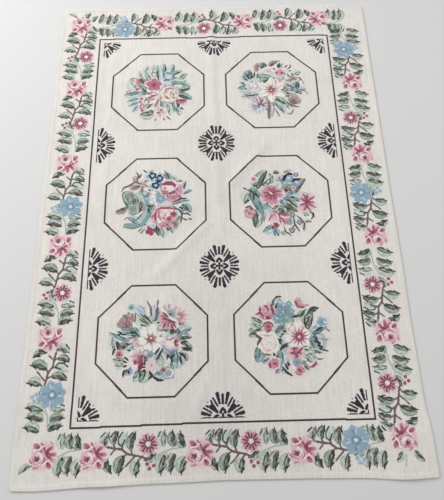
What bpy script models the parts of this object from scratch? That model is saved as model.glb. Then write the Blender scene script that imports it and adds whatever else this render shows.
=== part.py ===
"""Needlepoint rug, 1.39 m wide and 2.02 m long, lying flat with a few soft creases.

Metres. +X runs across the rug, +Y along it to its far end, +Z up.
The origin is on the surface under the middle of the rug.
The rug is one stitched cloth. Its edges are turned under all round, which makes
a thicker rim as wide as the hem. The cloth is one closed solid: an upper skin and
a lower skin, joined round the rim by a rounded fold.
"""

import math

import bmesh
import bpy

# Driving sizes
HALF_WIDTH = 0.6945
HALF_LENGTH = 1.0108
CLOTH_THICKNESS = 0.0030
HEM_WIDTH = 0.0145
HEM_EXTRA = 0.0018
HEM_STEP = 0.0040
FOLD_ROUNDING = 0.0013
CORNER_RADIUS = 0.009
CORNER_CUT = 1.0 - 1.0 / math.sqrt(2.0)

# Spacing of the lines that the two skins are built on
LINE_SPACING = 0.038
LINE_CLEARANCE = 0.3 * LINE_SPACING
CENTRE_LINES = (-0.034, -0.017, 0.0, 0.017, 0.034)

# How far each edge lies inside the largest rectangle
# (place along the edge, inset)
LEFT_EDGE = (
    (-1.0108, 0.0015), (-0.760, 0.0), (-0.507, 0.0010), (-0.254, 0.0010), (0.0, 0.0022),
    (0.254, 0.0045), (0.507, 0.0058), (0.760, 0.0034), (1.0108, 0.0012),
)
RIGHT_EDGE = (
    (-1.0108, 0.0), (-0.900, 0.0005), (-0.760, 0.0110), (-0.507, 0.0133), (-0.254, 0.0108),
    (0.0, 0.0118), (0.254, 0.0102), (0.507, 0.0090), (0.760, 0.0072), (1.0108, 0.0060),
)
NEAR_EDGE = (
    (-0.6945, 0.0020), (-0.620, 0.0), (-0.425, 0.0080), (-0.200, 0.0130), (0.020, 0.0178),
    (0.255, 0.0162), (0.425, 0.0135), (0.595, 0.0050), (0.6945, 0.0085),
)
FAR_EDGE = (
    (-0.6945, 0.0095), (-0.590, 0.0), (-0.340, 0.0020), (-0.068, 0.0), (0.206, 0.0015),
    (0.411, 0.0), (0.548, 0.0008), (0.610, 0.0060), (0.6945, 0.0105),
)

# Soft creases, straight from one end to the other
# (start x, start y, end x, end y, half width, height)
CREASES = (
    (-0.017, 1.060, -0.006, 0.300, 0.040, 0.0050),
    (-0.006, 0.330, 0.008, -0.180, 0.040, 0.0045),
    (0.000, -0.420, -0.010, -0.780, 0.044, 0.0025),
    (0.228, 0.300, 0.036, 0.061, 0.042, 0.0050),
    (-0.024, -0.065, -0.262, -0.317, 0.042, 0.0050),
    (-0.504, 0.860, -0.508, 0.400, 0.040, 0.0030),
    (-0.449, 0.250, -0.452, -0.070, 0.038, 0.0035),
    (0.337, -0.130, 0.340, -0.320, 0.036, 0.0025),
    (0.321, -0.337, 0.432, -0.580, 0.038, 0.0030),
    (-0.017, -0.640, -0.118, -0.810, 0.040, 0.0035),
    (-0.541, -0.735, -0.455, -0.867, 0.046, 0.0040),
)

# Half widths over which a crease fades out at each end
CREASE_FADE = 1.5

# Places where the rim lies a little off the surface
# (centre x, centre y, reach, height)
LIFTED_RIM = (
    (-0.590, 1.030, 0.130, 0.0085),
    (0.137, 1.030, 0.080, 0.0035),
    (0.343, 1.030, 0.090, 0.0065),
    (0.548, 1.030, 0.085, 0.0055),
    (-0.400, -1.030, 0.110, 0.0040),
    (0.610, -1.010, 0.110, 0.0040),
)

WOOL_COLOUR = (0.70, 0.62, 0.55, 1.0)
WOOL_ROUGHNESS = 0.95
SMOOTH_ANGLE = math.radians(50.0)


def clear_scene():
    """Remove every object that the scene starts with."""
    for item in list(bpy.data.objects):
        bpy.data.objects.remove(item, do_unlink=True)


def ease(value):
    """Turn 0..1 into a soft step with level ends."""
    value = min(1.0, max(0.0, value))
    return value * value * (3.0 - 2.0 * value)


def bell(value):
    """A soft hump: 1 at 0, and nothing from 1 outwards."""
    if value >= 1.0:
        return 0.0
    return 0.5 + 0.5 * math.cos(math.pi * value)


def inset_at(edge, place):
    """Read an edge's inset at a place along it, with soft turns between the rows."""
    for (start, first), (end, second) in zip(edge, edge[1:]):
        if place <= end:
            return first + (second - first) * ease((place - start) / (end - start))
    return edge[-1][1]


def corner_inset(place, half_size):
    """The extra inset that rounds a corner off."""
    to_corner = half_size - abs(place)
    if to_corner >= CORNER_RADIUS:
        return 0.0
    return CORNER_CUT * CORNER_RADIUS * (1.0 - max(0.0, to_corner) / CORNER_RADIUS) ** 2


def on_rug(x, y):
    """Move a point of the largest rectangle to its place inside the uneven outline."""
    side_round = corner_inset(y, HALF_LENGTH)
    end_round = corner_inset(x, HALF_WIDTH)
    left = -HALF_WIDTH + inset_at(LEFT_EDGE, y) + side_round
    right = HALF_WIDTH - inset_at(RIGHT_EDGE, y) - side_round
    near = -HALF_LENGTH + inset_at(NEAR_EDGE, x) + end_round
    far = HALF_LENGTH - inset_at(FAR_EDGE, x) - end_round
    across = (x + HALF_WIDTH) / (2.0 * HALF_WIDTH)
    along = (y + HALF_LENGTH) / (2.0 * HALF_LENGTH)
    return left + (right - left) * across, near + (far - near) * along


def crease_height(crease, x, y):
    """Height of one crease at a point: a round ridge that fades out at its ends."""
    start_x, start_y, end_x, end_y, half_width, height = crease
    run_x = end_x - start_x
    run_y = end_y - start_y
    length = math.hypot(run_x, run_y)
    along = ((x - start_x) * run_x + (y - start_y) * run_y) / length
    across = abs((x - start_x) * run_y - (y - start_y) * run_x) / length
    end_fade = min(along, length - along) / (CREASE_FADE * half_width)
    return height * bell(across / half_width) * ease(end_fade)


def lift(x, y):
    """Height of the cloth's underside over the surface."""
    height = max(crease_height(crease, x, y) for crease in CREASES)
    for centre_x, centre_y, reach, rise in LIFTED_RIM:
        height = max(height, rise * bell(math.hypot(x - centre_x, y - centre_y) / reach))
    return height


def thickness(rim_distance):
    """Thickness of the cloth, which is greater over the turned hem."""
    over_hem = 1.0 - ease((rim_distance - HEM_WIDTH) / HEM_STEP)
    return CLOTH_THICKNESS + HEM_EXTRA * over_hem


def line_places(half_size, extra_lines=()):
    """Places of the lines across one direction: close at the rim, even between."""
    rim = (FOLD_ROUNDING, 0.5 * HEM_WIDTH, HEM_WIDTH, HEM_WIDTH + HEM_STEP)
    inner = half_size - rim[-1]
    count = math.ceil(2.0 * inner / LINE_SPACING)
    even = [-inner + 2.0 * inner * step / count for step in range(1, count)]
    even = [
        place for place in even
        if all(abs(place - line) > LINE_CLEARANCE for line in extra_lines)
    ]
    sides = [sign * (half_size - inset) for inset in rim for sign in (-1.0, 1.0)]
    return sorted(even + sides + list(extra_lines))


def ring(columns, rows):
    """Grid indices of the outermost points, once round the rug."""
    last_column = len(columns) - 1
    last_row = len(rows) - 1
    near = [(column, 0) for column in range(last_column)]
    right = [(last_column, row) for row in range(last_row)]
    far = [(column, last_row) for column in range(last_column, 0, -1)]
    left = [(0, row) for row in range(last_row, 0, -1)]
    return near + right + far + left


def rim_point(column_place, row_place):
    """The outermost point of the rounded fold beside a point of the skins' border."""
    edge_x = HALF_WIDTH - FOLD_ROUNDING
    edge_y = HALF_LENGTH - FOLD_ROUNDING
    x = math.copysign(HALF_WIDTH, column_place) if abs(column_place) > edge_x - 1e-9 else column_place
    y = math.copysign(HALF_LENGTH, row_place) if abs(row_place) > edge_y - 1e-9 else row_place
    return on_rug(x, y)


def build_rug_mesh():
    """Build the cloth as one closed mesh: underside, upper side and rounded rim."""
    columns = line_places(HALF_WIDTH, CENTRE_LINES)
    rows = line_places(HALF_LENGTH)
    body = bmesh.new()
    under = {}
    upper = {}
    for column, place_x in enumerate(columns):
        for row, place_y in enumerate(rows):
            x, y = on_rug(place_x, place_y)
            rim_distance = min(HALF_WIDTH - abs(place_x), HALF_LENGTH - abs(place_y))
            base = lift(x, y)
            under[column, row] = body.verts.new((x, y, base))
            upper[column, row] = body.verts.new((x, y, base + thickness(rim_distance)))
    for column in range(len(columns) - 1):
        for row in range(len(rows) - 1):
            corners = ((column, row), (column + 1, row), (column + 1, row + 1), (column, row + 1))
            body.faces.new([upper[corner] for corner in corners])
            body.faces.new([under[corner] for corner in reversed(corners)])
    border = ring(columns, rows)
    middle = []
    for column, row in border:
        x, y = rim_point(columns[column], rows[row])
        middle.append(body.verts.new((x, y, lift(x, y) + 0.5 * thickness(0.0))))
    for index, corner in enumerate(border):
        following = (index + 1) % len(border)
        after = border[following]
        body.faces.new((under[corner], under[after], middle[following], middle[index]))
        body.faces.new((middle[index], middle[following], upper[after], upper[corner]))
    bmesh.ops.triangulate(body, faces=body.faces[:])
    mesh = bpy.data.meshes.new("rug")
    body.to_mesh(mesh)
    body.free()
    mesh.shade_smooth()
    mesh.set_sharp_from_angle(angle=SMOOTH_ANGLE)
    return mesh


def wool_material():
    """Cream wool of the stitched ground."""
    material = bpy.data.materials.new("cream_wool")
    material.use_nodes = True
    shader = material.node_tree.nodes["Principled BSDF"]
    shader.inputs["Base Color"].default_value = WOOL_COLOUR
    shader.inputs["Roughness"].default_value = WOOL_ROUGHNESS
    shader.inputs["Metallic"].default_value = 0.0
    return material


def build():
    """Make the rug and put it in the scene."""
    clear_scene()
    mesh = build_rug_mesh()
    mesh.materials.append(wool_material())
    rug = bpy.data.objects.new("rug", mesh)
    bpy.context.collection.objects.link(rug)


build()
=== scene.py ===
"""Needlepoint rug, lying flat on a pale studio floor.

The cloth is one closed sheet that follows the shape of the frame's rug solid. The
coloured stitching lies on it stitch by stitch: each motif is worked on a stitch
chart, and each charted stitch becomes one small face in its own yarn.
Tables are in millimetres, seen from above: x to the right, y to the far end.
"""

import logging
import math
from dataclasses import dataclass
from enum import Enum
from typing import Protocol, Sequence

import bpy
import numpy as np
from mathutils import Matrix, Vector


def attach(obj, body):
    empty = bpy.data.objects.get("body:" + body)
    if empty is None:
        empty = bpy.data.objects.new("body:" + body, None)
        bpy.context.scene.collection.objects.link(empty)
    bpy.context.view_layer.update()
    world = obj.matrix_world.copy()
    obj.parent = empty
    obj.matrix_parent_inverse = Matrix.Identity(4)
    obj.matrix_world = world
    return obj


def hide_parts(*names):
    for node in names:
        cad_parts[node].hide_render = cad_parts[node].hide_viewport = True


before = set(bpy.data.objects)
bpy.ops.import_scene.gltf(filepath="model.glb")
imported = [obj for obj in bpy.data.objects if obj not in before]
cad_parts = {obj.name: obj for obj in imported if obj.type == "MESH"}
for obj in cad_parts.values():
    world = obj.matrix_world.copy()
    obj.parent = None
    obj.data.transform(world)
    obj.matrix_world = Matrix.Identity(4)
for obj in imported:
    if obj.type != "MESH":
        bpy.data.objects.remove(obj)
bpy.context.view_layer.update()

LOG = logging.getLogger("needlepoint_rug")

# The canvas: one millimetre in metres, and the size of a stitch in millimetres
MM = 0.001
STITCH = 2.12

# How ragged the meeting of two yarns is, as a share of a shape's tones
RAGGEDNESS = 0.16

# How far stitched pieces lie above the cloth, in metres
STITCHES_STAND_OUT = 0.00025

# Free squares between the bands of a stitched piece's flat map
MAP_GAP = 2
YARN_COLOUR = "yarn_colour"

Point = tuple[float, float]
Place = tuple[float, float, float]
Row = tuple[float, ...]
Tones = Sequence[tuple[float, "Yarn"]]


class Yarn(Enum):
    """The dyed wools, each with its sRGB colour."""

    AUBERGINE = "322a37"
    LINE_BROWN = "443a3d"
    UMBER = "5c4d50"
    CHARCOAL = "3d3f3c"
    MOSS = "50584f"
    PINE = "66736a"
    SAGE = "8d9a90"
    CELERY = "b0bdaf"
    MIST = "ccd5cc"
    BARK = "735f5d"
    TAUPE = "93847e"
    MOCHA = "b09b97"
    DEEP_TEAL = "5d7477"
    TEAL = "86a2a7"
    AQUA = "aec4c5"
    FOAM = "d2dedc"
    SKY = "90acbf"
    STEEL = "9db3c4"
    DENIM = "748da3"
    ICE = "c9d5dc"
    ROYAL = "3b5c92"
    NAVY = "1f2749"
    SLATE = "5f6a78"
    WINE = "78404f"
    CRIMSON = "9a4f64"
    ROSE = "b67486"
    PINK = "cf9bab"
    BLUSH = "e3c0ca"
    SHELL = "ecd9da"
    DUSTY = "bf8f9a"
    MAUVE = "8b5c68"
    RUST = "9b6463"
    PEACH = "d9c5c0"
    BUTTER = "ece0da"
    WHITE = "f1ede6"
    LILAC = "d6d2d6"
    LAVENDER = "aca8b3"
    PLUM = "744760"

    @property
    def number(self) -> int:
        """The yarn's number on the chart, from 1; 0 is bare ground."""
        return list(Yarn).index(self) + 1

    @property
    def colour(self) -> tuple[float, float, float, float]:
        """The yarn's colour as linear red, green, blue and alpha."""
        return linear_colour(self.value)


def linear_colour(code: str) -> tuple[float, float, float, float]:
    """Turn an sRGB hex colour into linear values.

    Args:
        code: Six hex digits.

    Returns:
        Red, green, blue and an alpha of 1.
    """
    parts = [int(code[place : place + 2], 16) / 255.0 for place in (0, 2, 4)]
    red, green, blue = (
        part / 12.92 if part <= 0.04045 else ((part + 0.055) / 1.055) ** 2.4 for part in parts
    )
    return red, green, blue, 1.0


class Reading(Enum):
    """What a blade's tones are read from."""

    ACROSS = "from one side to the other"
    ALONG = "from base to tip"
    RIM = "from the middle out to the rim"


@dataclass(frozen=True)
class Window:
    """A part of a chart, with each stitch's offset from the window's middle.

    Attributes:
        rows: The chart's rows in the window.
        columns: The chart's columns in the window.
        dx: Offset to the right of every stitch, in millimetres.
        dy: Offset to the far end of every stitch, in millimetres.
    """

    rows: slice
    columns: slice
    dx: np.ndarray
    dy: np.ndarray


@dataclass(frozen=True)
class Shading:
    """How the tones of a shape waver, so that no two leaves are alike.

    Attributes:
        waves: Waves along a blade that is shaded across.
        shift: How the waves move on with the blade's place, for each millimetre.
        depth: Depth of the waves in millimetres.
        most: Greatest depth, as a share of the half width.
        lap: How far the tones of a blade that is shaded along lap over.
        laps: How often they do.
        lobes: A disc's number of lobes, their shift with its place and their weight.
        roundness: A disc's mean rim and the depth of its lobes, as shares of its radius.
    """

    waves: float = 4.2
    shift: float = 0.031
    depth: float = 6.6
    most: float = 0.30
    lap: float = 0.07
    laps: float = 7.5
    lobes: tuple[Row, Row] = ((5.0, 0.7, 1.0), (3.0, 0.9, 0.6))
    roundness: Point = (1.04, 0.09)


SHADING = Shading()


class StitchChart:
    """The yarn of every stitch in a rectangle of the canvas."""

    def __init__(self, low: Point, high: Point, seed: int) -> None:
        """Start a bare chart.

        Args:
            low: Near left corner in millimetres.
            high: Far right corner in millimetres.
            seed: Seed of the small unevenness where two yarns meet.
        """
        self.first_column = round(low[0] / STITCH)
        self.first_row = round(low[1] / STITCH)
        columns = round(high[0] / STITCH) - self.first_column
        rows = round(high[1] / STITCH) - self.first_row
        self.yarns = np.zeros((rows, columns), np.uint8)
        self.x = (self.first_column + np.arange(columns) + 0.5) * STITCH
        self.y = (self.first_row + np.arange(rows) + 0.5) * STITCH
        self.fleck = np.random.default_rng(seed).random((rows, columns)) - 0.5

    def window(self, x: float, y: float, reach: float) -> Window:
        """Cut out the stitches within a reach of a point.

        Args:
            x: The point's place to the right.
            y: Its place to the far end.
            reach: How far the window reaches.

        Returns:
            The window, with its stitches' offsets from the point.
        """
        first_column, last_column = np.searchsorted(self.x, (x - reach, x + reach))
        first_row, last_row = np.searchsorted(self.y, (y - reach, y + reach))
        rows = slice(int(first_row), int(last_row))
        columns = slice(int(first_column), int(last_column))
        dx, dy = np.meshgrid(self.x[columns] - x, self.y[rows] - y)
        return Window(rows, columns, dx, dy)

    def lay(self, window: Window, mask: np.ndarray, value: np.ndarray, tones: Tones) -> None:
        """Work the masked stitches in the tones that a value picks.

        Args:
            window: Where to work.
            mask: Which of its stitches to work.
            value: The value of every stitch.
            tones: Rising limits, each with the yarn used below it.
        """
        part = self.yarns[window.rows, window.columns]
        ragged = value + RAGGEDNESS * self.fleck[window.rows, window.columns]
        free = mask.copy()
        for limit, yarn in tones:
            here = free & (ragged < limit)
            part[here] = yarn.number
            free &= ~here
        part[free] = tones[-1][1].number

    def blade(
        self,
        base: Point,
        turn: float,
        length: float,
        width: float,
        tones: Tones,
        reading: Reading = Reading.ACROSS,
        belly: float = 0.45,
        fullness: float = 0.62,
        bend: float = 0.0,
    ) -> None:
        """Work a leaf or petal shape.

        Args:
            base: Where it grows from.
            turn: Its direction in degrees, 0 to the right and 90 to the far end.
            length: Length in millimetres.
            width: Greatest width in millimetres.
            tones: Its yarns.
            reading: What picks among the yarns.
            belly: Where along it the width is greatest.
            fullness: Under 1 rounds the ends, over 1 draws them out.
            bend: Sideways arch as a share of the length.
        """
        angle = math.radians(turn)
        window = self.window(*base, length * (1.0 + abs(bend)) + width)
        along = (window.dx * math.cos(angle) + window.dy * math.sin(angle)) / length
        across = window.dy * math.cos(angle) - window.dx * math.sin(angle)
        inside = (along > 0.0) & (along < 1.0)
        place = np.clip(along, 0.001, 0.999)
        across = across - bend * length * 4.0 * place * (1.0 - place)
        power = math.log(0.5) / math.log(belly)
        half = 0.5 * width * np.sin(math.pi * place**power) ** fullness
        side = across / np.maximum(half, 0.01)
        if reading is Reading.ACROSS:
            shift = SHADING.shift * (base[0] + 2.0 * base[1])
            wave = math.pi * (SHADING.waves * along - np.abs(side) + shift)
            value = side + min(SHADING.most, SHADING.depth / width) * np.sin(wave)
        elif reading is Reading.ALONG:
            value = along + SHADING.lap * np.cos(SHADING.laps * side)
        else:
            value = np.maximum(np.abs(side), along)
        self.lay(window, inside & (np.abs(side) <= 1.0), value, tones)

    def disc(self, centre: Point, radius: float, tones: Tones, swirl: float = 0.0) -> None:
        """Work a round patch whose tones run from its middle to its rim.

        Args:
            centre: Its middle.
            radius: Radius in millimetres.
            tones: Its yarns, with limits as shares of the radius.
            swirl: How much the rings wind into a spiral, as a share of the radius.
        """
        window = self.window(*centre, radius + STITCH)
        angle = np.arctan2(window.dy, window.dx)
        lobes = sum(
            weight * np.sin(count * angle + shift * place)
            for (count, shift, weight), place in zip(SHADING.lobes, centre)
        )
        mean, depth = SHADING.roundness
        far = np.hypot(window.dx, window.dy) / radius * (mean + depth * lobes)
        self.lay(window, far <= 1.0, far + swirl * angle / (2.0 * math.pi), tones)

    def stroke(self, points: Sequence[Point], width: float, yarn: Yarn, taper: float = 0.0) -> None:
        """Work a line of one yarn through a few points.

        Args:
            points: The line's points.
            width: Width in millimetres.
            yarn: Its yarn.
            taper: How much of the width is lost at the line's ends.
        """
        whole = sum(math.dist(start, end) for start, end in zip(points, points[1:]))
        done = 0.0
        for start, end in zip(points, points[1:]):
            middle = (0.5 * (start[0] + end[0]), 0.5 * (start[1] + end[1]))
            run = (end[0] - start[0], end[1] - start[1])
            length = math.hypot(*run)
            window = self.window(*middle, 0.5 * length + width)
            along = (window.dx * run[0] + window.dy * run[1]) / length
            short = np.maximum(np.abs(along) - 0.5 * length, 0.0)
            across = (window.dy * run[0] - window.dx * run[1]) / length
            share = np.clip((done + along + 0.5 * length) / whole, 0.0, 1.0)
            half = 0.5 * width * (1.0 - taper * (2.0 * share - 1.0) ** 2)
            self.lay(window, np.hypot(short, across) <= half, across, ((math.inf, yarn),))
            done += length


@dataclass(frozen=True)
class Placing:
    """Where a motif's own coordinates lie on a chart.

    Attributes:
        chart: The chart that is worked.
        origin: Where the motif's zero point lies.
        turn: Direction of the motif's first axis, in degrees.
        stretch: How far places are pulled apart along that axis.
    """

    chart: StitchChart
    origin: Point = (0.0, 0.0)
    turn: float = 0.0
    stretch: float = 1.0

    def spot(self, point: Point) -> Point:
        """Place one of the motif's points on the chart.

        Args:
            point: The point in the motif's own coordinates.

        Returns:
            Its place on the chart.
        """
        cosine = math.cos(math.radians(self.turn))
        sine = math.sin(math.radians(self.turn))
        along = point[0] * self.stretch
        return (
            self.origin[0] + along * cosine - point[1] * sine,
            self.origin[1] + along * sine + point[1] * cosine,
        )


class Motif(Protocol):
    """Anything that can be worked on a chart."""

    def stitch(self, place: Placing) -> None:
        """Work the motif at its place."""


class LeafWool(Enum):
    """The four yarns of a leaf, from its shaded edge to its bright one."""

    GREY_GREEN = (Yarn.CHARCOAL, Yarn.PINE, Yarn.SAGE, Yarn.MIST)
    SAGE = (Yarn.CHARCOAL, Yarn.SAGE, Yarn.CELERY, Yarn.MIST)
    PALE = (Yarn.PINE, Yarn.CELERY, Yarn.MIST, Yarn.FOAM)
    TEAL = (Yarn.DEEP_TEAL, Yarn.TEAL, Yarn.AQUA, Yarn.FOAM)
    SPRUCE = (Yarn.CHARCOAL, Yarn.DEEP_TEAL, Yarn.TEAL, Yarn.AQUA)
    BLUE = (Yarn.SLATE, Yarn.DENIM, Yarn.SKY, Yarn.ICE)
    BROWN = (Yarn.CHARCOAL, Yarn.BARK, Yarn.MOCHA, Yarn.SAGE)
    DARK = (Yarn.CHARCOAL, Yarn.CHARCOAL, Yarn.MOSS, Yarn.PINE)
    HAZE = (Yarn.CELERY, Yarn.MIST, Yarn.FOAM, Yarn.ICE)
    DUSK = (Yarn.UMBER, Yarn.UMBER, Yarn.BARK, Yarn.TAUPE)
    OLIVE = (Yarn.CHARCOAL, Yarn.PINE, Yarn.SAGE, Yarn.CELERY)
    SEA = (Yarn.PINE, Yarn.TEAL, Yarn.TEAL, Yarn.AQUA)


class PetalWool(Enum):
    """The yarns of a petal, from its base or shaded edge outwards."""

    RED = (Yarn.WINE, Yarn.CRIMSON, Yarn.ROSE, Yarn.PINK)
    ROSE = (Yarn.CRIMSON, Yarn.ROSE, Yarn.PINK, Yarn.BLUSH)
    PINK = (Yarn.ROSE, Yarn.PINK, Yarn.BLUSH, Yarn.SHELL)
    SHELL = (Yarn.PINK, Yarn.BLUSH, Yarn.SHELL, Yarn.WHITE)
    DUSTY = (Yarn.MAUVE, Yarn.DUSTY, Yarn.PINK, Yarn.BLUSH)
    PEACH = (Yarn.RUST, Yarn.PEACH, Yarn.BUTTER, Yarn.WHITE)
    WHITE = (Yarn.BLUSH, Yarn.WHITE, Yarn.WHITE, Yarn.MIST)
    EDGED = (Yarn.PINK, Yarn.PINK, Yarn.BLUSH, Yarn.SHELL)
    SKY = (Yarn.DENIM, Yarn.SKY, Yarn.SKY, Yarn.ICE)
    LILAC = (Yarn.LILAC, Yarn.WHITE, Yarn.LILAC, Yarn.ICE)
    PLUM = (Yarn.PLUM, Yarn.MAUVE, Yarn.DUSTY, Yarn.LILAC)
    MOCHA = (Yarn.BARK, Yarn.TAUPE, Yarn.MOCHA, Yarn.PEACH)
    RUST = (Yarn.RUST, Yarn.RUST, Yarn.MOCHA, Yarn.PEACH)
    BEIGE = (Yarn.PEACH, Yarn.PEACH, Yarn.BUTTER, Yarn.PEACH)
    ASTER = (Yarn.PLUM, Yarn.DUSTY, Yarn.BLUSH, Yarn.LILAC)
    DEEP = (Yarn.CRIMSON, Yarn.ROSE, Yarn.ROSE, Yarn.PINK)
    RIMMED = (Yarn.CRIMSON, Yarn.ROSE, Yarn.PINK, Yarn.SHELL)
    STEEL = (Yarn.DENIM, Yarn.SKY, Yarn.SKY, Yarn.STEEL)
    FROST = (Yarn.SKY, Yarn.SKY, Yarn.AQUA, Yarn.ICE)
    HUSK = (Yarn.BARK, Yarn.TAUPE, Yarn.MOCHA, Yarn.TAUPE)
    THISTLE = (Yarn.SLATE, Yarn.LAVENDER, Yarn.LILAC, Yarn.BLUSH)
    CORAL = (Yarn.RUST, Yarn.DUSTY, Yarn.PEACH, Yarn.BLUSH)
    CREAM = (Yarn.PEACH, Yarn.SHELL, Yarn.WHITE, Yarn.WHITE)


# Limits of a leaf's tones from its shaded edge to its bright one
LEAF_LIMITS = (-0.76, -0.34, 0.14, 0.54)

# How round the ends of a leaf and of a petal are
LEAF_FULLNESS = 0.52
PETAL_FULLNESS = 0.55

# Width of a leaf's midrib: its share of the leaf's width, and the least
RIB_SHARE = 0.13
RIB_LEAST = 3.6

# The dark curl at a leaf's tip, as shares of its length and of its half width
TAIL_SPOTS = ((0.58, 0.86), (0.86, 0.52), (1.04, 0.60))
TAIL_TAPER = 0.35

# Limits of a petal's tones
PETAL_LIMITS = {
    Reading.ALONG: (0.22, 0.46, 0.80),
    Reading.ACROSS: (-0.55, -0.10, 0.45),
    Reading.RIM: (0.30, 0.55, 0.82),
}
PETAL_BELLY = 0.62


@dataclass(frozen=True)
class Leaf:
    """A leaf with a shaded edge, a bright edge and a dark midrib.

    Attributes:
        base: Where it grows from.
        tip: Its point.
        width: Greatest width.
        wool: Its yarns.
        bend: Sideways arch; the shaded edge is on the hollow side.
        rib: How far along the midrib runs, or 0 for none.
        tail: Width of the dark curl that ends the shaded edge, or 0 for none.
    """

    base: Point
    tip: Point
    width: float
    wool: LeafWool = LeafWool.SAGE
    bend: float = 0.10
    rib: float = 0.8
    tail: float = 0.0

    def stitch(self, place: Placing) -> None:
        """Work the leaf at its place.

        Args:
            place: Where the leaf is worked.
        """
        base = place.spot(self.base)
        turn, length = heading(base, place.spot(self.tip))
        dark, middle, light, pale = self.wool.value
        limits = LEAF_LIMITS
        shades = (dark, middle, light, pale, light)
        if self.bend < 0.0:
            limits = tuple(-limit for limit in reversed(limits))
            shades = shades[::-1]
        tones = tuple(zip((*limits, math.inf), shades))
        place.chart.blade(
            base, turn, length, self.width, tones, fullness=LEAF_FULLNESS, bend=self.bend
        )
        if self.rib > 0.0:
            rib_width = max(RIB_SHARE * self.width, RIB_LEAST)
            place.chart.blade(
                base, turn, self.rib * length, rib_width, ((math.inf, dark),),
                bend=self.bend * self.rib,
            )
        if self.tail > 0.0:
            flank = -math.copysign(0.5 * self.width, self.bend)
            curl = Placing(place.chart, base, turn)
            spots = [curl.spot((along * length, aside * flank)) for along, aside in TAIL_SPOTS]
            place.chart.stroke(spots, self.tail, dark, TAIL_TAPER)


@dataclass(frozen=True)
class Petal:
    """A round-ended petal, shaded from its base or from one edge.

    Attributes:
        base: Where it grows from.
        tip: The middle of its outer edge.
        width: Greatest width.
        wool: Its yarns.
        reading: What its shading follows.
        belly: Where along it the width is greatest.
        bend: Sideways arch.
    """

    base: Point
    tip: Point
    width: float
    wool: PetalWool = PetalWool.PINK
    reading: Reading = Reading.ALONG
    belly: float = PETAL_BELLY
    bend: float = 0.0

    def stitch(self, place: Placing) -> None:
        """Work the petal at its place.

        Args:
            place: Where the petal is worked.
        """
        base = place.spot(self.base)
        turn, length = heading(base, place.spot(self.tip))
        tones = tuple(zip((*PETAL_LIMITS[self.reading], math.inf), self.wool.value))
        place.chart.blade(
            base, turn, length, self.width, tones, self.reading, self.belly, PETAL_FULLNESS,
            self.bend,
        )


@dataclass(frozen=True)
class Dab:
    """A round patch of one yarn, or of even rings from its middle outwards."""

    centre: Point
    radius: float
    rings: tuple[Yarn, ...]
    swirl: float = 0.0

    def stitch(self, place: Placing) -> None:
        """Work the patch at its place.

        Args:
            place: Where the patch is worked.
        """
        share = 1.0 / len(self.rings)
        tones = [(share * (ring + 1), yarn) for ring, yarn in enumerate(self.rings)]
        place.chart.disc(place.spot(self.centre), self.radius, tones, self.swirl)


@dataclass(frozen=True)
class Line:
    """A line of one yarn through a few points."""

    points: tuple[Point, ...]
    yarn: Yarn
    width: float
    taper: float = 0.0

    def stitch(self, place: Placing) -> None:
        """Work the line at its place."""
        points = [place.spot(point) for point in self.points]
        place.chart.stroke(points, self.width, self.yarn, self.taper)


@dataclass(frozen=True)
class Bloom:
    """An open flower of like petals round a heart.

    Attributes:
        centre: Its middle.
        radius: Length of a petal.
        petals: How many there are.
        width: Width of a petal.
        wool: The petals' yarns.
        heart: Rings of the heart from the middle outwards.
        heart_radius: Radius of the heart.
        turn: Direction of the first petal in degrees.
        belly: Where along a petal it is widest.
    """

    centre: Point
    radius: float
    petals: int
    width: float
    wool: PetalWool
    heart: tuple[Yarn, ...]
    heart_radius: float
    turn: float = 0.0
    belly: float = PETAL_BELLY

    def stitch(self, place: Placing) -> None:
        """Work the petals, then the heart.

        Args:
            place: Where the flower is worked.
        """
        for number in range(self.petals):
            angle = math.radians(self.turn + 360.0 * number / self.petals)
            tip = (
                self.centre[0] + self.radius * math.cos(angle) / place.stretch,
                self.centre[1] + self.radius * math.sin(angle),
            )
            Petal(self.centre, tip, self.width, self.wool, belly=self.belly).stitch(place)
        Dab(self.centre, self.heart_radius, self.heart).stitch(place)


def heading(start: Point, end: Point) -> tuple[float, float]:
    """Direction in degrees and distance from one point to another."""
    run = (end[0] - start[0], end[1] - start[1])
    return math.degrees(math.atan2(run[1], run[0])), math.hypot(*run)


def polar(centre: Point, turn: float, reach: float) -> Point:
    """The point at a direction in degrees and a distance from a centre."""
    angle = math.radians(turn)
    return centre[0] + reach * math.cos(angle), centre[1] + reach * math.sin(angle)


def work(motifs: Sequence[Motif], place: Placing) -> None:
    """Work motifs in order at one place."""
    for motif in motifs:
        motif.stitch(place)


def leaves(wool: LeafWool, *rows: Row) -> tuple[Motif, ...]:
    """Leaves from rows of base x and y, tip x and y, width and, where given, bend."""
    return tuple(Leaf(row[:2], row[2:4], *row[4:5], wool, *row[5:]) for row in rows)


def vine_leaf(wool: LeafWool, *row: float, tail: float = 5.6) -> Motif:
    """A leaf of the vine with a dark curl, from base x and y, tip x and y, and width."""
    return Leaf(row[:2], row[2:4], row[4], wool, math.copysign(0.10, row[3]), tail=tail)


def petals(wool: PetalWool, *rows: Row, reading: Reading = Reading.ALONG) -> tuple[Motif, ...]:
    """Petals from rows of base x and y, tip x and y, width and, where given, belly."""
    return tuple(
        Petal(row[:2], row[2:4], row[4], wool, reading, (*row, PETAL_BELLY)[5]) for row in rows
    )


def dabs(rings: tuple[Yarn, ...], *rows: Row) -> tuple[Motif, ...]:
    """Round patches from rows of x, y and radius."""
    return tuple(Dab(row[:2], row[2], rings) for row in rows)


def lines(yarn: Yarn, width: float, *rows: Row, taper: float = 0.55) -> tuple[Motif, ...]:
    """Lines from rows of x and y for each point, with slim ends unless said otherwise."""
    return tuple(Line(tuple(zip(row[::2], row[1::2])), yarn, width, taper) for row in rows)


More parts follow.
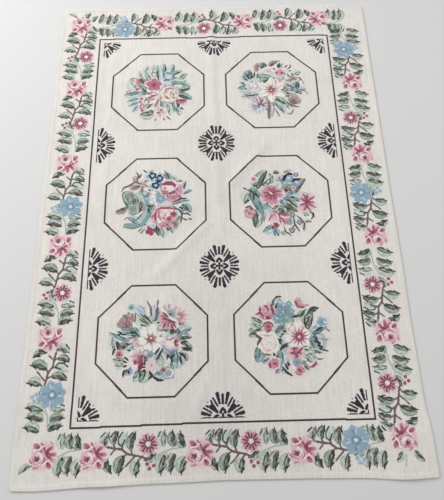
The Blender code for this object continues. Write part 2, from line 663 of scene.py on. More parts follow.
# The rose of the vine, from its outer petals to its heart
ROSE: tuple[Motif, ...] = (
    *petals(PetalWool.EDGED, (-4, -4, -43, -20, 30), (-2, 0, -38, 6, 26), (-2, -2, -20, -49, 30),
        (2, -4, 10, -49, 30), (4, -2, 38, -36, 32), (4, 0, 52, -11, 28), (4, 2, 36, 36, 34),
        (2, 2, 6, 50, 30), (0, 4, -33, 34, 32), (8, 2, 55, 4, 22)),
    *petals(PetalWool.RED, (-4, 18, -30, 38, 19, 0.5), (18, -18, 32, -40, 17, 0.55),
        (14, 3, 50, 3, 13, 0.6), reading=Reading.RIM),
    *petals(PetalWool.ROSE, (-4, -30, -30, -40, 11, 0.5), reading=Reading.RIM),
    Dab((-12, -9), 25, (Yarn.BLUSH, Yarn.SHELL, Yarn.PINK, Yarn.SHELL, Yarn.BLUSH), 0.8),
    *lines(Yarn.ROSE, 5, (-37, -14, -30, -22), taper=0),
    *lines(Yarn.PINK, 5, (36, -20, 45, -12), taper=0),
    *lines(Yarn.SHELL, 6, (-4, 28, 0, 44), taper=0),
    *petals(PetalWool.RED, (12, 6, 40, -18, 12, 0.45), (12, 10, 38, 30, 14, 0.5),
        reading=Reading.RIM),
    *lines(Yarn.CRIMSON, 6.4, (14, 10, 6, 24, -4, 40), taper=0.4),
    *lines(Yarn.SHELL, 5, (24, -14, 36, -26), taper=0.3),
    *lines(Yarn.SHELL, 5, (22, 10, 34, 15, 44, 20), taper=0.4),
    *dabs((Yarn.WINE, Yarn.CRIMSON), (17, 9, 7.6)),
    *lines(Yarn.PINK, 5, (24, 42, 34, 36), taper=0),
    *lines(Yarn.WHITE, 5.4, (1, -12, -2, 2, -12, 9), taper=0.3),
    *lines(Yarn.ROSE, 5.6, (2, -26, 9, -18, 8, -6), taper=0.4),
    *lines(Yarn.ROSE, 5.4, (2, 10, -8, 17, -20, 16), taper=0.4),
    *lines(Yarn.PINK, 5, (-20, -24, -29, -12, -24, 1), taper=0),
    *lines(Yarn.MAUVE, 5, (-20, -3, -22, -13, -13, -17, -8, -9), taper=0),
    *dabs((Yarn.WINE, Yarn.WINE, Yarn.CRIMSON), (-13, -9, 6.6)),
    *lines(Yarn.WHITE, 5, (4, -30, 14, -20, 26, -12), (-30, 16, -8, 20, 4, 30), taper=0.4),
)

# The stem from a rose to the next flower, with the rose at zero
STEM_RUN = 185.0
STEM: tuple[Motif, ...] = (
    *lines(Yarn.TAUPE, 5.4, (40, 28, 60, 24), taper=0),
    *lines(Yarn.BARK, 7.4, (52, 25, 77, 20, 97, 18, 117, 3, 142, -2), taper=0),
    *lines(Yarn.BARK, 6.6, (142, -2, 167, -7, 187, -18, 202, -14), taper=0),
    *lines(Yarn.BARK, 5.6, (76, 19, 62, 2), (144, -3, 122, -25, 112, -34), (76, 20, 68, 38),
        (134, 0, 128, 16), (117, 3, 104, -4), (167, -6, 150, -20), taper=0),
    *lines(Yarn.BARK, 5, (100, 18, 100, 32), taper=0),
    vine_leaf(LeafWool.PALE, 38, 26, 45, 71, 30),
    vine_leaf(LeafWool.GREY_GREEN, 40, 28, 44, 62, 15, tail=0),
    *lines(Yarn.CHARCOAL, 5, (27, 58, 40, 70), taper=0),
    vine_leaf(LeafWool.GREY_GREEN, 70, 32, 76, 74, 26),
    vine_leaf(LeafWool.DUSK, 73, 44, 74, 62, 9, tail=0),
    *lines(Yarn.UMBER, 5, (60, 56, 66, 67, 76, 74), taper=0),
    vine_leaf(LeafWool.HAZE, 97, 24, 106, 71, 30),
    *lines(Yarn.MOSS, 5.6, (98, 26, 86, 36, 86, 52, 98, 70), taper=0),
    *lines(Yarn.CHARCOAL, 5.6, (100, 30, 106, 46), taper=0),
    vine_leaf(LeafWool.OLIVE, 127, 14, 133, 70, 28),
    vine_leaf(LeafWool.DUSK, 131, 36, 131, 57, 9, tail=0),
    *lines(Yarn.UMBER, 5.2, (120, 54, 133, 69), taper=0),
    vine_leaf(LeafWool.GREY_GREEN, 46, -4, 58, -54, 25, tail=8),
    vine_leaf(LeafWool.DARK, 48, -16, 46, -40, 11, tail=0),
    vine_leaf(LeafWool.OLIVE, 104, -2, 82, -56, 34),
    *lines(Yarn.CHARCOAL, 5.6, (102, -4, 104, -28), taper=0),
    vine_leaf(LeafWool.SAGE, 152, -18, 138, -62, 34),
    *lines(Yarn.MOSS, 6.4, (152, -20, 155, -38), taper=0),
    vine_leaf(LeafWool.GREY_GREEN, 172, -19, 212, -4, 21),
)

# The leaves from a flower on to the next rose, with the flower at zero
TRAIL_RUN = 170.0
TRAIL: tuple[Motif, ...] = (
    *lines(Yarn.CELERY, 4.4, (24, -6, 50, 5, 77, 15, 105, 18, 122, 20), taper=0),
    *lines(Yarn.CELERY, 4, (56, 8, 66, -4), taper=0),
    vine_leaf(LeafWool.SAGE, 54, -2, 34, -58, 34),
    *lines(Yarn.CHARCOAL, 6, (54, -4, 58, -22), taper=0),
    vine_leaf(LeafWool.PALE, 50, 22, 46, 71, 32),
    *lines(Yarn.MOSS, 5.2, (33, 54, 40, 69), taper=0),
    vine_leaf(LeafWool.GREY_GREEN, 88, 2, 68, -54, 32),
    vine_leaf(LeafWool.DUSK, 86, -8, 78, -30, 12, tail=0),
    vine_leaf(LeafWool.OLIVE, 88, 22, 74, 69, 28),
    vine_leaf(LeafWool.SAGE, 126, -8, 102, -58, 34),
    *lines(Yarn.MOSS, 5.6, (126, -10, 128, -28), taper=0),
    vine_leaf(LeafWool.GREY_GREEN, 122, 18, 100, 64, 31),
    vine_leaf(LeafWool.DARK, 120, 24, 106, 44, 12, tail=0),
)


@dataclass(frozen=True)
class Daisy:
    """A daisy with slim petals over a darker ring, and a white heart.

    Attributes:
        petals: How many petals there are.
        radius: Length of a petal.
        turn: Direction of the first petal in degrees.
        ring: Radius of the darker ring, as a share of a petal's length.
        rays: How far the dark rays between the petals reach, as such shares by turns.
        petal_width: Width of a petal.
        petal_belly: Where along it the width is greatest.
        ray: Start, width and taper of a ray.
        hearts: Radius of the dark heart and of the white one on it.
    """

    petals: int = 12
    radius: float = 38.0
    turn: float = 4.0
    ring: float = 0.64
    rays: Point = (0.62, 0.80)
    petal_width: float = 11.0
    petal_belly: float = 0.66
    ray: Row = (10.0, 5.6, 0.3)
    hearts: Point = (12.0, 9.0)

    def stitch(self, place: Placing) -> None:
        """Work the ring, the petals and the heart.

        Args:
            place: Where the daisy is worked.
        """
        middle = (0.0, 0.0)
        rings = (Yarn.MAUVE, Yarn.MAUVE, Yarn.MAUVE, Yarn.DUSTY)
        start, width, taper = self.ray
        Dab(middle, self.ring * self.radius, rings).stitch(place)
        Bloom(
            middle, self.radius, self.petals, self.petal_width, PetalWool.DUSTY, (Yarn.MAUVE,),
            self.hearts[0], self.turn, self.petal_belly,
        ).stitch(place)
        for number in range(self.petals):
            turn = self.turn + 360.0 * (number + 0.5) / self.petals
            reach = self.rays[number % 2] * self.radius
            points = (polar(middle, turn, start), polar(middle, turn, reach))
            Line(points, Yarn.WINE, width, taper).stitch(place)
        Dab(middle, self.hearts[1], (Yarn.WHITE, Yarn.WHITE, Yarn.SHELL)).stitch(place)


@dataclass(frozen=True)
class Star:
    """A blue star flower on a pale one, with light rays and a white heart.

    Attributes:
        petals: How many petals each star has.
        radius: Length of a petal of the blue star.
        turn: Direction of its first petal in degrees.
        layers: Each star's turn in petals, reach as a share, petal width and yarns.
        rays: Where the rays end, as shares of a petal's length by turns.
        petal_belly: Where along a petal the width is greatest.
        ray: Start as such a share, lean in degrees, width and taper of a ray.
        hearts: Radius of the blue heart and of the white one on it.
    """

    petals: int = 8
    radius: float = 49.0
    turn: float = 12.0
    layers: tuple[tuple[float, float, float, PetalWool], ...] = (
        (0.5, 0.88, 15.0, PetalWool.FROST), (0.0, 1.0, 31.0, PetalWool.STEEL),
    )
    rays: Row = (0.58, 0.74, 0.66)
    petal_belly: float = 0.54
    ray: Row = (0.42, 5.0, 5.0, 0.3)
    hearts: Point = (15.0, 10.0)

    def stitch(self, place: Placing) -> None:
        """Work the pale star, the blue one, the rays and the heart.

        Args:
            place: Where the star is worked.
        """
        middle = (0.0, 0.0)
        step = 360.0 / self.petals
        start, lean, ray_width, taper = self.ray
        for shift, reach, width, wool in self.layers:
            turn = self.turn + shift * step
            Bloom(
                middle, reach * self.radius, self.petals, width, wool, (Yarn.DENIM,),
                self.hearts[0], turn, self.petal_belly,
            ).stitch(place)
        for number in range(self.petals):
            turn = self.turn + (number + 0.5 * (number % 2)) * step
            reach = self.rays[number % 3] * self.radius
            spots = (polar(middle, turn, start * self.radius), polar(middle, turn + lean, reach))
            yarn = (Yarn.AQUA, Yarn.ICE, Yarn.DENIM)[number % 3]
            Line(spots, yarn, ray_width, taper).stitch(place)
        Dab(middle, self.hearts[1], (Yarn.WHITE, Yarn.FOAM, Yarn.SKY)).stitch(place)


def berries(core: Yarn, rim: Yarn) -> tuple[Motif, ...]:
    """Three berries beside a flower of the vine."""
    return dabs((core, core, rim), (6, -43, 9.6), (-2, -29, 9.6), (20, -34, 9.6))


class VineFlower(Enum):
    """The flower between two roses, with the berries opposite it."""

    DAISY = (Daisy(), berries(Yarn.MAUVE, Yarn.SHELL))
    STAR = (Star(), berries(Yarn.STEEL, Yarn.ICE))
    NONE = (None, ())


@dataclass(frozen=True)
class Sprig:
    """A length of the vine: a rose, its stem, a flower and trailing leaves."""

    rose: Point
    flower: Point
    kind: VineFlower


@dataclass(frozen=True)
class VineSide:
    """The vine along one side of the rug.

    Attributes:
        turn: Direction of growth in degrees, with the rug's middle on its left.
        end: Where the last sprig ends.
        sprigs: The sprigs in order.
    """

    turn: float
    end: Point
    sprigs: tuple[Sprig, ...]

    def run(self, start: Point, end: Point) -> float:
        """Distance from one point to another along the side."""
        angle = math.radians(self.turn)
        return (end[0] - start[0]) * math.cos(angle) + (end[1] - start[1]) * math.sin(angle)

    def stitch(self, chart: StitchChart) -> None:
        """Work the side's stems and leaves, then its flowers and roses.

        Args:
            chart: The chart that is worked.
        """
        ends = [sprig.rose for sprig in self.sprigs[1:]] + [self.end]
        for sprig, end in zip(self.sprigs, ends):
            trail = self.run(sprig.flower, end) / TRAIL_RUN
            trail_start = self.beside(sprig.rose, sprig.flower)
            work(TRAIL, Placing(chart, trail_start, self.turn, trail))
            if sprig.kind is not VineFlower.NONE:
                stretch = self.run(sprig.rose, sprig.flower) / STEM_RUN
                work(STEM, Placing(chart, sprig.rose, self.turn, stretch))
        for sprig in self.sprigs:
            flower, extras = sprig.kind.value
            if flower is None:
                continue
            work(extras, Placing(chart, self.beside(sprig.rose, sprig.flower), self.turn))
            work((flower,), Placing(chart, sprig.flower, self.turn))
            work(ROSE, Placing(chart, sprig.rose, self.turn))

    def beside(self, rose: Point, flower: Point) -> Point:
        """The point level with a flower on the line through its rose.

        Args:
            rose: The rose's middle.
            flower: The flower's middle.

        Returns:
            The point.
        """
        angle = math.radians(self.turn)
        run = self.run(rose, flower)
        return rose[0] + run * math.cos(angle), rose[1] + run * math.sin(angle)


def sprigs(*rows: tuple[float, float, float, float, VineFlower]) -> tuple[Sprig, ...]:
    """Sprigs from rows of rose x and y, flower x and y, and kind."""
    return tuple(Sprig(row[:2], row[2:4], row[4]) for row in rows)


VINE_LEFT = VineSide(-90.0, (-597.0, -870.0), sprigs(
    (-600, 919, -567, 737, VineFlower.DAISY),
    (-596, 572, -567, 387, VineFlower.DAISY),
    (-604, 200, -576, 1, VineFlower.STAR),
    (-601, -159, -577, -350, VineFlower.DAISY),
    (-605, -512, -581, -712, VineFlower.STAR),
))
VINE_NEAR = VineSide(0.0, (560.0, -905.0), sprigs(
    (-597, -909, -575, -905, VineFlower.NONE),
    (-433, -909, -249, -877, VineFlower.DAISY),
    (-83, -909, 90, -876, VineFlower.DAISY),
    (254, -908, 437, -882, VineFlower.STAR),
))
VINE_RIGHT = VineSide(90.0, (600.0, 905.0), sprigs(
    (597, -880, 566, -701, VineFlower.DAISY),
    (590, -528, 562, -346, VineFlower.DAISY),
    (599, -155, 567, 33, VineFlower.STAR),
    (592, 206, 567, 387, VineFlower.DAISY),
    (593, 567, 577, 749, VineFlower.STAR),
))
VINE_FAR = VineSide(180.0, (-560.0, 921.0), sprigs(
    (610, 921, 615, 921, VineFlower.NONE),
    (484, 931, 303, 895, VineFlower.DAISY),
    (140, 923, -44, 886, VineFlower.DAISY),
    (-217, 920, -401, 890, VineFlower.STAR),
))
CORNER_ROSE = (-597.0, -905.0)
CORNER_LEAVES: tuple[Motif, ...] = (
    *leaves(LeafWool.PALE, (-620, 960, -668, 990, 17, -0.1)),
    *leaves(LeafWool.GREY_GREEN, (-580, 953, -562, 986, 24), (-550, 936, -530, 970, 22)),
    *leaves(LeafWool.SAGE, (-556, 916, -516, 878, 20, -0.1)),
    *leaves(LeafWool.DARK, (-608, 872, -654, 858, 18, -0.1)),
    *lines(Yarn.BARK, 4.4, (-576, 938, -598, 962), taper=0),
    *leaves(LeafWool.SAGE, (-625, -930, -668, -958, 20, -0.1), (585, -920, 562, -954, 20)),
    *leaves(LeafWool.GREY_GREEN, (625, -918, 655, -952, 20, -0.1)),
    *lines(Yarn.CELERY, 4.4, (597, -930, 590, -965), taper=0),
)


def stitch_vine(chart: StitchChart) -> None:
    """Work as much of the whole vine as the chart holds.

    Args:
        chart: The chart that is worked.
    """
    work(CORNER_LEAVES, Placing(chart))
    for side in (VINE_NEAR, VINE_FAR, VINE_RIGHT, VINE_LEFT):
        side.stitch(chart)
    work(ROSE, Placing(chart, CORNER_ROSE))


@dataclass(frozen=True)
class Medallion:
    """A dark star of rays, drawn out from its middle in four like quarters.

    Attributes:
        centre: Its middle.
        sideways: Where the rays to the left and right start and end.
        lengthways: Where the rays to the far and near ends start and end.
        ring: An eighth of its inner ring, as turns from an axis and distances.
        leaf: A thin line beside the rays, in the same way.
        fork: A short line beside each diagonal, in the same way.
        stalk: Reach of the thin and of the thick part of its inner cross.
        stalk_widths: Their widths; the thick one is the ring's too.
        leaf_width: Width of the thin lines.
        fork_width: Width of the short lines.
        ray_widths: Widths of a ray beside an axis at its start and end.
        ray_turn: Turn of such a ray from its axis.
        wedge_ray: Start, end, start width and end width of the ray on each diagonal.
        dot: Distance and radius of the dot past it.
    """

    centre: Point
    sideways: Point = (40.5, 77.0)
    lengthways: Point = (45.0, 87.0)
    ring: tuple[Point, ...] = ((25.0, 19.5), (11.0, 26.0), (0.0, 30.5))
    leaf: tuple[Point, ...] = ((24.5, 43.0), (27.0, 73.0))
    fork: tuple[Point, ...] = ((6.0, 56.0), (9.5, 68.0))
    stalk: Point = (8.0, 11.0)
    stalk_widths: Point = (6.0, 9.4)
    leaf_width: float = 6.6
    fork_width: float = 7.2
    ray_widths: Point = (7.0, 14.0)
    ray_turn: float = 13.0
    wedge_ray: Row = (23.0, 61.0, 7.0, 25.0)
    dot: Point = (73.0, 3.6)

    def line(self, width: float, turn: float, side: float, spots: Sequence[Point]) -> Motif:
        """A line through spots given as turns to one side of a direction and distances.

        Args:
            width: The line's width.
            turn: The direction in degrees.
            side: 1 or -1.
            spots: The spots' turns and distances from the middle.

        Returns:
            The line.
        """
        points = tuple(polar(self.centre, turn + side * aside, far) for aside, far in spots)
        return Line(points, Yarn.AUBERGINE, width)

    def stitch(self, place: Placing) -> None:
        """Work the medallion's parts in each quarter.

        Args:
            place: Where the medallion is worked.
        """
        slim, wide = self.ray_widths
        inner, outer = self.stalk
        thin, thick = self.stalk_widths
        far, radius = self.dot
        for quarter in (0.0, 90.0, 180.0, 270.0):
            wedge = quarter + 45.0
            start, reach = self.sideways if quarter in (0.0, 180.0) else self.lengthways
            parts = [
                self.line(thin, quarter, 1.0, ((0.0, 0.0), (0.0, inner))),
                self.line(thick, quarter, 1.0, ((0.0, inner), (0.0, outer))),
                Ray(self.centre, quarter, start, reach - slim, slim, slim),
                Ray(self.centre, wedge, *self.wedge_ray),
                Dab(polar(self.centre, wedge, far), radius, (Yarn.LAVENDER,)),
            ]
            for side in (-1.0, 1.0):
                parts += [
                    self.line(thick, quarter, side, self.ring),
                    Ray(self.centre, quarter + side * self.ray_turn, start, reach, slim, wide),
                    self.line(self.leaf_width, quarter, side, self.leaf),
                    self.line(self.fork_width, wedge, side, self.fork),
                ]
            work(parts, place)


@dataclass(frozen=True)
class Ray:
    """A straight tapered bar that points away from a centre."""

    centre: Point
    turn: float
    start: float
    end: float
    start_width: float
    end_width: float
    yarn: Yarn = Yarn.AUBERGINE

    def stitch(self, place: Placing) -> None:
        """Work the ray at its place.

        Args:
            place: Where the ray is worked.
        """
        centre = place.spot(self.centre)
        window = place.chart.window(*centre, self.end + self.end_width)
        cosine = math.cos(math.radians(self.turn))
        sine = math.sin(math.radians(self.turn))
        along = window.dx * cosine + window.dy * sine
        across = np.abs(window.dy * cosine - window.dx * sine)
        share = np.clip((along - self.start) / (self.end - self.start), 0.0, 1.0)
        half = 0.5 * (self.start_width + (self.end_width - self.start_width) * share)
        past = np.maximum(along - self.end + half, 0.0)
        inside = (along >= self.start) & (past**2 + across**2 <= half**2)
        place.chart.lay(window, inside, across, ((math.inf, self.yarn),))


@dataclass(frozen=True)
class Panel:
    """The ruled lines and medallions of the rug's field.

    Attributes:
        frame_line: The outer line, as a closed run of points.
        columns: Places of the octagons' middles to the right.
        rows: Places of the octagons' middles to the far end.
        half_width: Half an octagon's width.
        half_height: Half an octagon's height.
        half_side: Half the length of its straight sides.
        line: Width of the lines.
        cut: The rectangle that cuts the outer medallions in half.
        between: Places of the middle medallions to the far end.
        beside: Places of the half medallions to the far end.
        cut_reach: Half the length of a cut medallion's straight edge.
        cut_width: Width of the line along it.
    """

    frame_line: tuple[Point, ...] = (
        (-510.0, -822.0), (-60.0, -815.0), (200.0, -814.5), (510.0, -817.0), (509.5, 833.0),
        (250.0, 835.0), (0.0, 831.5), (-260.0, 835.0), (-509.5, 832.5), (-510.0, -822.0),
    )
    columns: tuple[float, ...] = (-243.3, 244.2)
    rows: tuple[float, ...] = (544.6, 10.0, -528.9)
    half_width: float = 196.0
    half_height: float = 198.5
    half_side: float = 81.5
    line: float = 6.4
    cut: tuple[float, float, float, float] = (-490.0, -801.0, 492.0, 813.0)
    between: Point = (275.5, -260.0)
    beside: Point = (277.0, -259.0)
    cut_reach: float = 74.0
    cut_width: float = 3.0

    def octagon(self, centre: Point, inset: float) -> tuple[Point, ...]:
        """A closed octagon, drawn a little inside the outer one.

        Args:
            centre: The octagon's middle.
            inset: How far inside the outer octagon it lies.

        Returns:
            Its corners, with the first one again at the end.
        """
        wide = self.half_width - inset
        high = self.half_height - inset
        side = self.half_side - inset * math.tan(math.radians(22.5))
        turns = (
            (wide, -side), (wide, side), (side, high), (-side, high), (-wide, side),
            (-wide, -side), (-side, -high), (side, -high), (wide, -side),
        )
        return tuple((centre[0] + x, centre[1] + y) for x, y in turns)

    def centres(self) -> list[Point]:
        """The octagons' middles, from the far left one to the near right one."""
        return [(x, y) for y in self.rows for x in self.columns]

    def stitch_lines(self, chart: StitchChart) -> None:
        """Work the outer line and the octagons.

        Args:
            chart: The chart that is worked.
        """
        place = Placing(chart)
        Line(self.frame_line, Yarn.LINE_BROWN, self.line).stitch(place)
        for centre in self.centres():
            Line(self.octagon(centre, 0.0), Yarn.LINE_BROWN, self.line).stitch(place)

    def stitch_medallions(self, chart: StitchChart) -> None:
        """Work the whole medallions, and the half and quarter ones on the cut.

        Args:
            chart: The chart that is worked.
        """
        left, near, right, far = self.cut
        place = Placing(chart)
        work([Medallion((0.0, y)) for y in self.between], place)
        for x in (left, 0.0, right):
            for y in (near, far) if x == 0.0 else (near, *self.beside, far):
                Medallion((x, y)).stitch(place)
                self.cut_line((x, y)).stitch(place)

    def cut_line(self, centre: Point) -> Motif:
        """The thin line along a cut medallion's straight edges.

        Args:
            centre: The cut medallion's middle.

        Returns:
            The line.
        """
        left, near, right, far = self.cut
        x, y = centre
        reach = self.cut_reach
        across = ((x - reach, y), (x + reach, y)) if y in (near, far) else ()
        along = ((x, y - reach), (x, y + reach)) if x in (left, right) else ()
        return Line(across or along, Yarn.LINE_BROWN, self.cut_width)


PANEL = Panel()


# The wreath: how many leaves, their size, and their starts and leans by turns
WREATH_LEAVES = 27
WREATH_LENGTH = 54.0
WREATH_WIDTH = 30.0
WREATH_STARTS = (22.0, 44.0, 62.0)
WREATH_LEANS = (16.0, -14.0, 11.0)


def wreath(turn: float, *wools: LeafWool) -> tuple[Motif, ...]:
    """Soft leaves that fill a bouquet behind its flowers.

    Args:
        turn: Direction of the first leaf in degrees.
        wools: The leaves' yarns by turns.

    Returns:
        The leaves.
    """
    fill = []
    for number in range(WREATH_LEAVES):
        angle = turn + 360.0 * number / WREATH_LEAVES
        start = WREATH_STARTS[number % 3]
        base = polar((0.0, 0.0), angle, start)
        tip = polar((0.0, 0.0), angle + WREATH_LEANS[number % 3], start + WREATH_LENGTH)
        fill.append(Leaf(base, tip, WREATH_WIDTH, wools[number % len(wools)], rib=0.0))
    return tuple(fill)


BOUQUET_FAR_LEFT: tuple[Motif, ...] = (
    *wreath(0, LeafWool.HAZE, LeafWool.TEAL, LeafWool.SAGE, LeafWool.PALE),
    *leaves(LeafWool.PALE, (-62, 80, -48, 138, 24), (-42, 55, -62, 98, 34), (-22, 70, -24, 140, 32),
        (-72, 62, -86, 108, 20), (90, 58, 124, 92, 30), (-88, 10, -128, 62, 52),
        (40, -66, 52, -128, 26), (104, 30, 142, 22, 24)),
    *leaves(LeafWool.TEAL, (28, 60, 20, 146, 42), (54, 52, 62, 142, 42), (56, 48, 124, 34, 36),
        (-78, -8, -146, -20, 38), (-84, -38, -134, -52, 20), (-84, -56, -128, -76, 18),
        (-86, -74, -108, -108, 20), (62, -52, 70, -112, 24), (12, -52, 26, -84, 24),
        (-2, 60, -6, 140, 22)),
    *leaves(LeafWool.GREY_GREEN, (66, 86, 100, 104, 20), (88, 0, 138, 10, 28),
        (-46, -88, -20, -54, 22)),
    *leaves(LeafWool.SAGE, (-18, -118, -76, -124, 44), (74, -88, 94, -130, 22),
        (-56, 2, -84, 26, 18)),
    *leaves(LeafWool.BROWN, (-78, 62, -42, 28, 28)),
    *leaves(LeafWool.SPRUCE, (86, -24, 144, -46, 30), (-44, -4, -76, -4, 18)),
    *leaves(LeafWool.DARK, (76, -38, 84, -92, 15), (92, -90, 108, -98, 9)),
    *dabs((Yarn.FOAM, Yarn.ICE, Yarn.ICE, Yarn.SKY), (40, 44, 23), (42, 76, 20)),
    *dabs((Yarn.LILAC, Yarn.ICE), (42, 112, 13), (9, 66, 11), (96, -116, 10)),
    *dabs((Yarn.SHELL, Yarn.MOCHA), (-20, 88, 15), (-127, -4, 11)),
    *lines(Yarn.NAVY, 6.4, (31, 125, 29, 110, 23, 100), (22, 52, 33, 58, 48, 55)),
    *lines(Yarn.SLATE, 6.4, (35, 96, 48, 91), (61, 71, 76, 65)),
    *lines(Yarn.MOSS, 7, (-121, 67, -84, 73, -62, 45, -40, 21), (-8, 102, -2, 76, -1, 54),
        (103, 2, 119, 3, 134, 15)),
    *lines(Yarn.PINE, 5, (91, 62, 98, 77, 116, 89), (108, 40, 119, 53), (-92, -12, -136, -8)),
    *lines(Yarn.CHARCOAL, 6.6, (88, -27, 110, -24), (97, -36, 112, -34), (-70, -14, -54, -16),
        (-48, -10, -34, -2), (-30, -8, -25, 4), (-66, 4, -52, 3), (-36, -98, -21, -104, -17, -120)),
    *lines(Yarn.BARK, 6, (36, -130, 53, -148), (-8, -142, -12, -152), (25, -138, 27, -152)),
    *petals(PetalWool.PINK, (-92, 54, -90, 80, 26), (-90, 52, -108, 42, 22),
        (-96, 30, -112, 24, 20), (-88, 20, -82, 0, 26), (-92, 18, -100, 2, 20),
        (101, -58, 118, -74, 26), (-72, -40, -76, -30, 24), (-68, -56, -80, -60, 26),
        (-68, -70, -58, -60, 22), (-66, -86, -78, -92, 26), (-64, -98, -54, -92, 22),
        (-6, -50, 4, -30, 18)),
    *petals(PetalWool.RED, (-84, 66, -80, 36, 15), (-108, 22, -96, 30, 10), (-98, 6, -84, 16, 12),
        (98, -44, 92, -70, 30), (104, -44, 120, -62, 20), (-78, -34, -64, -46, 11),
        (-82, -50, -72, -62, 10), (-78, -78, -68, -68, 10), (-74, -96, -60, -104, 12),
        (-76, -90, -70, -82, 9)),
    Petal((6, -34), (-14, -86), 13, PetalWool.RED, Reading.RIM, 0.75),
    Bloom((-19, 31), 46, 5, 34, PetalWool.SHELL, (Yarn.LILAC,), 23, 90, 0.36),
    Bloom((-19, 31), 41, 5, 29, PetalWool.DEEP, (Yarn.WINE, Yarn.CRIMSON), 7, 90, 0.34),
    *petals(PetalWool.SHELL, (-30, 8, -48, -4, 18), (-6, 8, 2, -8, 18), (10, 40, 18, 48, 14)),
    *petals(PetalWool.PEACH, (0, -18, -56, -22, 24), (-2, -24, -58, -60, 34),
        (0, -34, -44, -66, 22), (4, -26, -26, -6, 14), reading=Reading.ACROSS),
    *lines(Yarn.RUST, 7.5, (-4, -20, -26, -24, -44, -50)),
    Bloom((43, -20), 47, 8, 38, PetalWool.BEIGE, (Yarn.SHELL, Yarn.PEACH), 22, 12),
    *lines(Yarn.RUST, 7.4, (27, -12, 33, 8, 50, 14, 66, 3), (30, -24, 37, -37, 50, -41),
        (62, -14, 68, -24), (60, -38, 72, -33), (38, -10, 46, 0)),
    *lines(Yarn.BUTTER, 7, (36, -16, 54, -42), (40, -8, 58, 6), (18, 4, 34, 18, 52, 22)),
    *lines(Yarn.TAUPE, 5, (50, -20, 58, -8), (8, -32, 14, -48), (22, 20, 34, 26)),
    *lines(Yarn.DUSTY, 5, (22, -56, 44, -62), (72, 2, 78, -20)),
    *lines(Yarn.MOCHA, 4.6, (8, -22, 14, -36, 12, -48), (4, -6, 14, 6, 16, 18), (24, 22, 42, 28),
        (60, 18, 74, 10), (40, -58, 58, -60), (72, -46, 80, -34), (16, -54, 26, -62)),
    Bloom((8, -110), 30, 9, 17, PetalWool.BEIGE, (Yarn.ROSE, Yarn.PEACH), 8),
    *lines(Yarn.DUSTY, 7, (14, -96, 22, -106), (-6, -112, 4, -116), (8, -120, 10, -132),
        (22, -118, 26, -108), (-2, -96, 6, -92)),
    *dabs((Yarn.ROSE, Yarn.MAUVE), (14, -99, 6), (1, -113, 5)),
)

